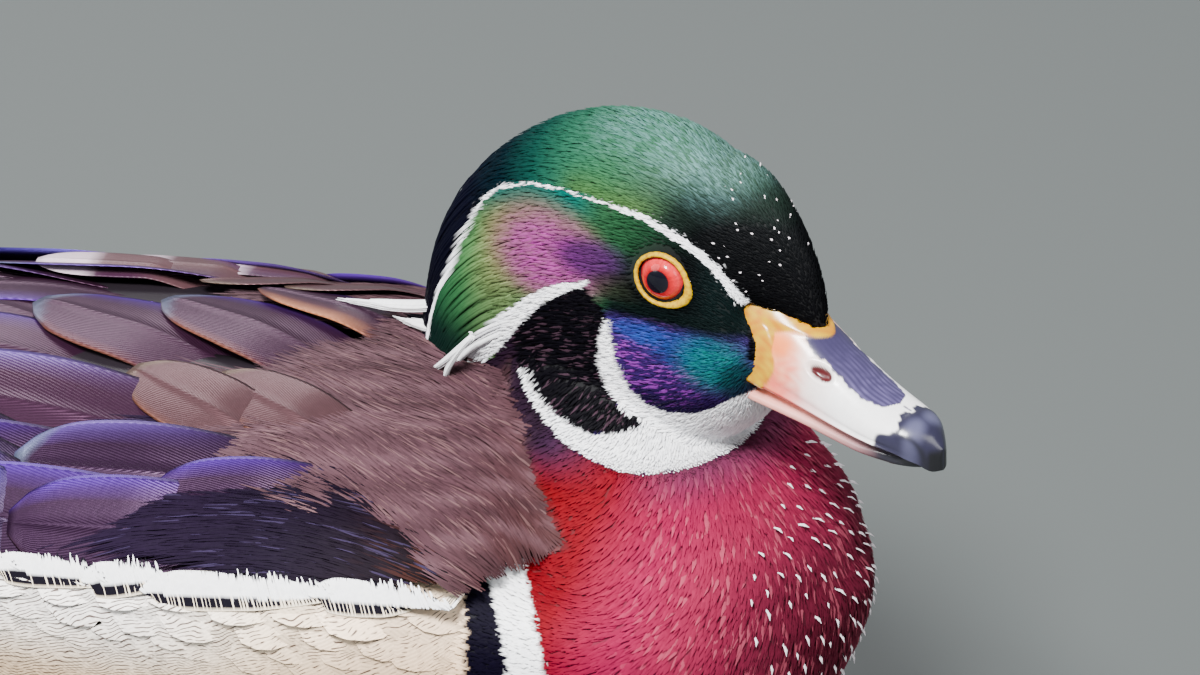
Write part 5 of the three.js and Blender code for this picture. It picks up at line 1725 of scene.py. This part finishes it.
def lid(side):
    out, forward, upward = eye_axes(side)
    centre = np.array([0, -side * EYE_Y, 0])
    turns = np.radians(np.arange(96) * 360 / 96)

    def direction(turn, extra):
        ahead, astern = max(0.0, math.cos(turn + 0.45)), max(0.0, -math.cos(turn + 0.3))
        polar = math.radians(LID_POLAR - 3 * abs(math.sin(turn)) + 6 * ahead ** 14 + 2 * astern ** 8 + extra)
        return out * math.cos(polar) + (forward * math.cos(turn) + upward * math.sin(turn)) * math.sin(polar)

    sides = 12
    rings = []
    for turn in turns:
        radial = direction(turn, 0)
        outer = unit(direction(turn, 8) - radial)
        ahead = max(0.0, math.cos(turn + 0.45))
        deep, broad = 0.65 * ahead ** 4, 0.5 * ahead ** 14
        middle = centre + radial * (LID_REACH - 0.1 + deep)
        fat = LID_THICK * (1 + 0.06 * math.sin(turn * 19) + 0.05 * math.sin(turn * 31 + 1))
        angles = np.radians(np.arange(sides) * 360 / sides)
        across, through = np.sin(angles)[:, None] * outer, np.cos(angles)[:, None] * radial
        rings.append(middle + across * (fat + broad) + through * (0.8 * fat + deep))
    rings = from_head(np.array(rings))
    count = len(rings)
    points = rings.reshape(-1, 3)
    faces = []
    for r in range(count):
        for i in range(sides):
            j, s = (i + 1) % sides, (r + 1) % count
            faces.append((r * sides + i, r * sides + j, s * sides + j, s * sides + i))
    obj = mesh_of(f"lid_{SIDES[side]}", points, outward(points, faces))
    obj.data.materials.append(lid_material)
    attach(obj, "root")


def horn_material(name, stops, roughness, bump_scale, **sockets):
    """Smooth horn or bare skin in a few mottled colours."""
    material, nodes, links, shader = new_material(name, roughness, **sockets)
    place = nodes.new("ShaderNodeTexCoord")
    cloud = node(nodes, "ShaderNodeTexNoise", Scale=bump_scale, Detail=5.0)
    links.new(place.outputs["Object"], cloud.inputs["Vector"])
    colours = nodes.new("ShaderNodeValToRGB")
    for at, colour in stops:
        stop = colours.color_ramp.elements.new(at)
        stop.color = (*colour, 1)
    colours.color_ramp.elements.remove(colours.color_ramp.elements[0])
    colours.color_ramp.elements.remove(colours.color_ramp.elements[-1])
    links.new(cloud.outputs["Fac"], colours.inputs[0])
    links.new(colours.outputs[0], shader.inputs["Base Color"])
    bump = node(nodes, "ShaderNodeBump", Strength=0.3, Distance=0.0002)
    links.new(cloud.outputs["Fac"], bump.inputs["Height"])
    links.new(bump.outputs["Normal"], shader.inputs["Normal"])
    return material


lid_material = horn_material(
    "lid_skin", ((0.3, linear(160, 104, 0)), (0.5, linear(184, 146, 0)), (0.7, linear(192, 160, 0))), 0.45, 1500.0,
    Specular_IOR_Level=0.2,
)
for side in SIDES:
    eyeball(side)
    lid(side)


# Bill

def upper_bill():
    xs = np.concatenate([np.linspace(BILL_BASE, 55, 190), BILL_TIP - 6.4 * (1 - np.linspace(0, 1, 50)[1:]) ** 1.6])
    sides = 176
    rings = surface_rings(bill_point, xs, sides)
    local = rings.reshape(-1, 3)
    x, y, z = local.T
    degrees = np.tile(np.arange(sides) * 360.0 / sides, len(xs))
    turn = np.minimum(degrees, 360 - degrees)
    height = (z - bill_cut(x)) / (culmen(x) - bill_cut(x))
    normal = unit(np.stack([x * 0, y, (z - mix(bill_cut(x), culmen(x), 0.3))], -1))

    nail = smooth(x, 52.5, 55) * (1 - smooth(turn, 52, 74))
    lip = np.exp(-((height - 0.1) / 0.05) ** 2) * smooth(x, 18, 24) * (1 - smooth(x, 54, 58)) * (turn < 120)
    groove = np.exp(-((height - 0.2) / 0.04) ** 2) * smooth(x, 20, 30) * (1 - smooth(x, 50, 56)) * (turn < 110)
    nostril_far = np.hypot((x - 34.9) / 2.5, (z + 12.9 + 0.3 * (x - 34.9)) / 1.15)
    nostril_far = np.where(np.abs(y) > 2, nostril_far, 9.0)
    pit = np.exp(-nostril_far ** 4)
    brim = np.exp(-((nostril_far - 1.3) / 0.22) ** 2)
    push = 0.28 * nail + 0.22 * lip - 0.22 * groove - 1.5 * pit + 0.18 * brim
    local = local + normal * push[:, None]

    rim_far = rim_distance(local)
    side = np.abs(y)
    mottle = 0.5 + 0.5 * np.sin(x * 1.3 + 2 * np.sin(z * 1.1 + y)) * np.sin(z * 1.7 + 1.2 * np.sin(x * 0.8))
    colour = ramp(
        x, (22, linear(244, 150, 70)), (27, linear(246, 176, 140)), (32, linear(246, 226, 218)), (40, linear(250, 248, 248)),
    )
    colour = paint(colour, linear(238, 96, 70), blob(x, z, (27.5, -15.5), (4.0, 5.5), 0.6) * mix(0.25, 0.8, mottle))
    colour = paint(colour, linear(246, 120, 40), blob(x, z, (25, -9.5), (3.4, 2.2), 0.6) * 0.8)
    colour = paint(colour, linear(226, 70, 84), np.exp(-((height - 0.2) / 0.11) ** 2) * (1 - smooth(x, 26, 44)) * 0.5)
    colour = paint(colour, linear(170, 24, 40), np.exp(-((height - 0.105) / 0.022) ** 2) * (1 - smooth(x, 46, 50)) * 0.9)
    patch_half = np.interp(x, (28.6, 29.6, 32, 34.5, 43.5, 47, 49.2, 50.3), (2.0, 4.4, 5.5, 4.7, 5.1, 4.4, 3.0, 0))
    ragged = 0.18 * np.sin(x * 1.7 + 1) + 0.1 * np.sin(x * 4.3)
    patch = (1 - smooth(side - patch_half - ragged, -0.15, 0.2)) * (x > 28.6) * (height > 0.4)
    streak = 0.5 + 0.5 * np.sin(y * 5.5 + 1.5 * np.sin(x * 0.6))
    slate = mix(linear(50, 44, 74), linear(92, 82, 126), (streak * smooth(x, 30, 46) * mix(0.3, 1, mottle))[:, None])
    colour = paint(colour, slate, patch)
    tip_from = np.interp(side, (0, 2, 4, 5.8, 7.2, 8), (53.6, 52.0, 53.2, 54.0, 51.2, 49.6)) + 0.3 * np.sin(side * 4)
    colour = paint(colour, linear(34, 32, 52), smooth(x, tip_from - 0.3, tip_from + 0.4))
    # Painted highlight: a paler blue-grey spot on each side of the nail.
    colour = paint(colour, linear(84, 84, 112), blob(x, side, (56.5, 3.0), (1.6, 2.6), 0.7) * 0.8)
    colour = paint(colour, linear(14, 13, 18), np.exp(-((side - 4.6 + 0.5 * (x - 57)) / 0.35) ** 2) * smooth(x, 54.5, 55.5) * 0.7)
    colour = paint(colour, linear(12, 11, 16), smooth(x, 59.2, 60.2) * (1 - smooth(z, -25, -23)))
    colour = paint(colour, linear(70, 4, 10), 1 - smooth(nostril_far, 0.85, 1.05))
    rim_wide = 1.5 + 1.9 * blob(x, z, (20.5, -5.5), (4.5, 4.0), 0.6)
    colour = paint(colour, mix(linear(184, 112, 0), linear(196, 156, 0), mottle[:, None]), 1 - smooth(rim_far - rim_wide, -0.1, 0.3))
    local = local + normal * (0.35 * (1 - smooth(rim_far, 1.2, 2.0)))[:, None]
    rings = from_head(local).reshape(len(xs), sides, 3)
    points, faces = loft(rings)
    obj = mesh_of("bill_horn_upper", points, outward(points, faces))
    colour = np.concatenate([colour, colour[:1], colour[-1:]])
    set_looks(obj, colour, np.zeros(len(points)), np.zeros(len(points)))
    obj.data.materials.append(bill_material)
    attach(obj, "root")
    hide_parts("bill_upper")


def rim_distance(local):
    """How far points of the bill, in the head's frame, lie from the feathered skin."""
    found, normals = ground.nearest(from_head(local))
    offset = from_head(local) - found
    return np.linalg.norm(offset, axis=1) * np.sign((offset * normals).sum(1)) - 0.8


def lower_bill():
    back, tip = 12, 56.5
    xs = np.linspace(back, tip, 60)
    rings = []
    degrees = np.arange(64) * 360 / 64
    for x in xs:
        end = rounded_off(x, 44, tip + 0.4)
        mid = bill_cut(min(x, 52)) - 0.45 - 1.8 - 0.4 * max(0, (x - 48) / 8)
        half = (bill_half(min(x, 51)) - 1.0) * mix(end, 1, 0.1)
        rings.append(egg_point(np.full(64, x), mid, 1.8, 1.8, half, 2.6, degrees, 0.0))
    rings = np.array(rings)
    x, y, z = rings.reshape(-1, 3).T
    colour = ramp(x, (12, linear(236, 150, 130)), (30, linear(226, 160, 150)), (44, linear(150, 110, 112)), (50, linear(34, 32, 42)))
    points, faces = loft(from_head(rings))
    obj = mesh_of("bill_horn_lower", points, outward(points, faces))
    colour = np.concatenate([colour, colour[:1], colour[-1:]])
    set_looks(obj, colour, np.zeros(len(points)), np.zeros(len(points)))
    obj.data.materials.append(bill_material)
    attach(obj, "root")
    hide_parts("bill_lower")


def painted_horn(name, roughness):
    material, nodes, links, shader = new_material(name, roughness, Coat_Weight=0.35, Coat_Roughness=0.2)
    place = nodes.new("ShaderNodeTexCoord")
    cloud = node(nodes, "ShaderNodeTexNoise", Scale=420.0, Detail=6.0)
    links.new(place.outputs["Object"], cloud.inputs["Vector"])
    tone = node(nodes, "ShaderNodeMapRange")
    tone.inputs["To Min"].default_value, tone.inputs["To Max"].default_value = 0.86, 1.1
    links.new(cloud.outputs["Fac"], tone.inputs["Value"])
    colour = node(nodes, "ShaderNodeVertexColor", layer_name="Col").outputs["Color"]
    links.new(blend_colour(nodes, links, 1.0, colour, tone.outputs["Result"], "MULTIPLY"), shader.inputs["Base Color"])
    bump = node(nodes, "ShaderNodeBump", Strength=0.2, Distance=0.0003)
    links.new(cloud.outputs["Fac"], bump.inputs["Height"])
    links.new(bump.outputs["Normal"], shader.inputs["Normal"])
    return material


bill_material = painted_horn("bill_horn", 0.3)
upper_bill()
lower_bill()


# Legs and feet, folded under the belly: feathered thighs, scaly shanks and webbed toes

THIGH_AT, THIGH_RADII = np.array([-78, 32, 17.5]), np.array([25, 11.5, 15.5])
SHANK_ROUTE = ((-98, 35, 6), (-84, 36, 3.4), (-62, 38, 2.5))
shank_radius = profile((0, 3.6), (0.3, 2.9), (0.85, 2.7), (1, 3))
FOOT_TURN = 14
TOES, HALLUX = ((-15, 37), (1, 46), (17, 43)), (160, 12)
toe_radius = profile((0, 2.7), (0.3, 2.1), (0.82, 1.5), (1, 0.35))
toe_height = profile((0, 2.2), (0.8, 1.1), (1, 0.5))
WEB_HEIGHT, WEB_HALF, WEB_REACH, WEB_SCALLOP = 1.2, 0.45, 0.82, 0.12
OCHRE, DUSKY, CLAW = linear(164, 128, 52), linear(78, 62, 34), linear(34, 28, 24)


def gathered(pieces):
    """Points, faces and colours of several closed bodies as those of one mesh."""
    points, faces, colours = [], [], []
    for its_points, its_faces, its_colours in pieces:
        shift = sum(len(p) for p in points)
        faces += [tuple(i + shift for i in face) for face in outward(its_points, its_faces)]
        points.append(its_points)
        colours.append(its_colours)
    return np.concatenate(points), faces, np.concatenate(colours)


def scaly_tube(centres, radii, sides, scutes):
    """A limb with broad scutes over its top, fine scales round the rest, and its colours."""
    tangents = unit(np.gradient(centres, axis=0))
    across = unit(np.cross((0, 0, 1), tangents))
    upward = np.cross(tangents, across)
    turn = np.radians(np.arange(sides) * 360 / sides)
    share = np.linspace(0, 1, len(centres))[:, None]
    top = smooth(np.sin(turn), 0.1, 0.6)[None]
    ridge = np.abs(np.sin(np.pi * share * scutes)) ** 0.45
    scale = 0.5 + 0.5 * np.cos(7 * turn + np.pi * np.floor(share * scutes * 2)) * np.cos(2 * np.pi * share * scutes * 2)
    depth = mix(0.12 * scale, 0.3 * ridge, top)
    reach = radii[:, None] - 0.2 + depth
    rings = centres[:, None] + reach[..., None] * (np.cos(turn)[:, None] * across[:, None] + np.sin(turn)[:, None] * upward[:, None])
    colour = mix(DUSKY, OCHRE, mix(0.5 + 0.5 * scale, ridge, top)[..., None])
    points, faces = loft(rings)
    colour = colour.reshape(-1, 3)
    return points, faces, np.concatenate([colour, colour[:1], colour[-1:]])


def toe_point(side, toe, t):
    turn, length = toe
    angle, ahead = np.radians(FOOT_TURN + turn), t * length + 1.5
    foot_x, foot_y, _ = SHANK_ROUTE[2]
    return np.stack([foot_x + ahead * np.cos(angle), -side * (foot_y + ahead * np.sin(angle)), toe_height(t)], -1)


def claw(side, toe):
    """A curved claw over the end of a toe."""
    t = np.linspace(0.86, 1.02, 14)
    centres = toe_point(side, toe, t)
    centres[:, 2] = 1.2 + 0.9 * np.sin(np.pi * np.linspace(0.1, 1, 14)) - 0.7 * np.linspace(0, 1, 14)
    radii = 1.15 * (1 - np.linspace(0, 0.94, 14) ** 1.5)
    points, faces, colours = scaly_tube(centres, radii + 0.2, 16, 0)
    return points, faces, np.broadcast_to(CLAW, points.shape)


def web(side, inner, outer):
    """A thin creased sheet between two toes, with a hollow front edge."""
    t, share = np.meshgrid(np.linspace(0.03, WEB_REACH, 40), np.linspace(0, 1, 22), indexing="ij")
    reach = t * (1 - WEB_SCALLOP * np.sin(np.pi * share) * (t / WEB_REACH))
    middle = mix(toe_point(side, inner, reach), toe_point(side, outer, reach), share[..., None])
    creases = 0.22 * np.sin(share * 26 + 2 * np.sin(t * 9)) * np.sin(np.pi * share) * smooth(t, 0.1, 0.5)
    fine = 0.08 * np.sin(t * 90 + 3 * np.sin(share * 12))
    middle[..., 2] = WEB_HEIGHT + creases + fine
    thick = WEB_HALF * np.array([0, 0, 1]) * mix(1, 0.6, smooth(t, 0.5, 0.82))[..., None]
    points, faces = slab(middle + thick, middle - thick)
    # Painted shade: the web is darker down in its folds and lighter on their crests.
    tone = mix(0.25, 0.6, smooth(creases + fine, -0.25, 0.25))
    colour = mix(DUSKY, OCHRE, np.tile(tone.ravel(), 2)[:, None])
    return points, faces, colour


def foot(side):
    pieces = []
    for toe in (*TOES, HALLUX):
        t = np.linspace(-0.05, 0.93, 110)
        joints = sum(np.exp(-((t - at) / 0.045) ** 2) for at in (0.36, 0.62, 0.82))
        pieces.append(scaly_tube(toe_point(side, toe, t), toe_radius(t) * (1 + 0.14 * joints), 28, toe[1] * 0.7))
        pieces.append(claw(side, toe))
    for inner, outer in zip(TOES, TOES[1:]):
        pieces.append(web(side, inner, outer))
    build_limb(f"webbed_foot_{SIDES[side]}", pieces, f"foot_{SIDES[side]}")


def build_limb(name, pieces, replaced):
    points, faces, colours = gathered(pieces)
    points[:, 2] = np.maximum(points[:, 2], 0.25)
    obj = mesh_of(name, points, faces)
    set_looks(obj, colours, np.zeros(len(points)), np.zeros(len(points)))
    obj.data.materials.append(foot_material)
    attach(obj, "root")
    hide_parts(replaced)
    return obj


def leg(side):
    mirror = np.array([1, -side, 1])
    route = spline(*(np.array(place) * mirror for place in SHANK_ROUTE))
    share = np.linspace(0, 1, 90)
    shank = scaly_tube(route(share), shank_radius(share), 36, 22)
    polar, turn = np.meshgrid(np.radians(np.linspace(1, 179, 40)), np.radians(np.arange(48) * 7.5), indexing="ij")
    ball = np.stack([np.cos(polar), np.sin(polar) * np.cos(turn), np.sin(polar) * np.sin(turn)], -1)
    ball[..., 0] = np.where(ball[..., 0] > 0, 1.6, 1) * ball[..., 0]
    points, faces = loft(THIGH_AT * mirror + ball * (THIGH_RADII - 1.2))
    thigh = (points, faces, np.broadcast_to(linear(214, 200, 182), points.shape))
    build_limb(f"scaly_leg_{SIDES[side]}", [shank, thigh], f"leg_{SIDES[side]}")
    bare = mesh_of("bare_thigh", points, outward(points, faces))
    read = Ground(bare)
    bpy.data.objects.remove(bare)
    roots = read.scatter(4000, lambda p: (p[:, 2] < 29) & (p[:, 2] > 1.5) & (p[:, 0] < -48))
    roots = roots[thinned(roots, np.full(len(roots), 3.0))]
    n = len(roots)
    along = np.stack([-np.ones(n), np.zeros(n), np.full(n, -0.3)], -1)
    places = np.clip(np.stack([(roots[:, 0] + 104) / 44, roots[:, 2] / 30], -1), 0, 1)
    centres, normals, tangents = march(roots, along, rng.uniform(11, 15, n), 5, read)
    lifts = -0.5 + rng.uniform(1.3, 2.4, n)[:, None] * smooth(np.linspace(0, 1, 5), 0, 0.7)
    tint = plumage_tint(rng.random(n))
    coat = Coat(f"thigh_coat_{SIDES[side]}", BODY_VANE_SECTION, 0.85)
    coat.add(
        centres, normals, tangents, rng.uniform(4.5, 6, n), round_width, lifts, 0.2, homes_of(places),
        lambda points, along, across: tint(points + (20, 0, 24), along, across),
    )
    coat.build(vane_material)


foot_material = painted_horn("foot_skin", 0.45)
for side in SIDES:
    foot(side)
    leg(side)


# Stage, light and camera

def stage():
    size = 6.0
    points = np.array([(-size, -size, 0), (size, -size, 0), (size, size, 0), (-size, size, 0)]) / MM
    floor = mesh_of("floor", points - np.array([0, 0, 0.05]), [(0, 1, 2, 3)])
    material, nodes, links, shader = new_material("floor_paint", 0.6)
    shader.inputs["Base Color"].default_value = (*linear(77, 82, 81), 1)
    floor.data.materials.append(material)
    world = bpy.data.worlds.new("studio")
    world.use_nodes = True
    world.node_tree.nodes["Background"].inputs[0].default_value = (*linear(214, 220, 228), 1)
    world.node_tree.nodes["Background"].inputs[1].default_value = 0.46
    bpy.context.scene.world = world


def soft_light(name, place, size, power, aim=(0.03, 0, 0.08)):
    data = bpy.data.lights.new(name, "AREA")
    data.shape, data.size, data.energy = "DISK", size, power
    light = bpy.data.objects.new(name, data)
    light.location = place
    light.rotation_euler = (Vector(aim) - Vector(place)).to_track_quat("-Z", "Y").to_euler()
    bpy.context.scene.collection.objects.link(light)


def camera():
    """Seen from the bird's right, a little ahead and above, by a long lens: the frame is 240 mm wide."""
    azimuth, elevation, distance, wide = math.radians(15), math.radians(22), 2.3, 0.24
    right = Vector((math.cos(azimuth), math.sin(azimuth), 0))
    back = Vector((-math.sin(azimuth), math.cos(azimuth), 0))
    view = back * math.cos(elevation) - Vector((0, 0, 1)) * math.sin(elevation)
    up = back * math.sin(elevation) + Vector((0, 0, 1)) * math.cos(elevation)
    crown = Vector((0.080, -0.008, 0.160))
    data = bpy.data.cameras.new("camera")
    data.sensor_width = 36
    data.lens = 36 * distance / wide
    data.clip_start, data.clip_end = 0.1, 50
    obj = bpy.data.objects.new("camera", data)
    obj.location = crown - view * distance
    aim = crown - right * 0.008 - up * 0.0459
    obj.rotation_euler = (aim - obj.location).to_track_quat("-Z", "Y").to_euler()
    bpy.context.scene.collection.objects.link(obj)
    bpy.context.scene.camera = obj


stage()
soft_light("key", (0.1, -1.7, 1.9), 0.7, 205)
soft_light("fill", (-1.6, -1.2, 1.2), 1.6, 36)
soft_light("front", (1.8, -0.8, 1.0), 1.2, 18)
soft_light("rim", (-0.8, 1.6, 1.8), 1.0, 34)
camera()
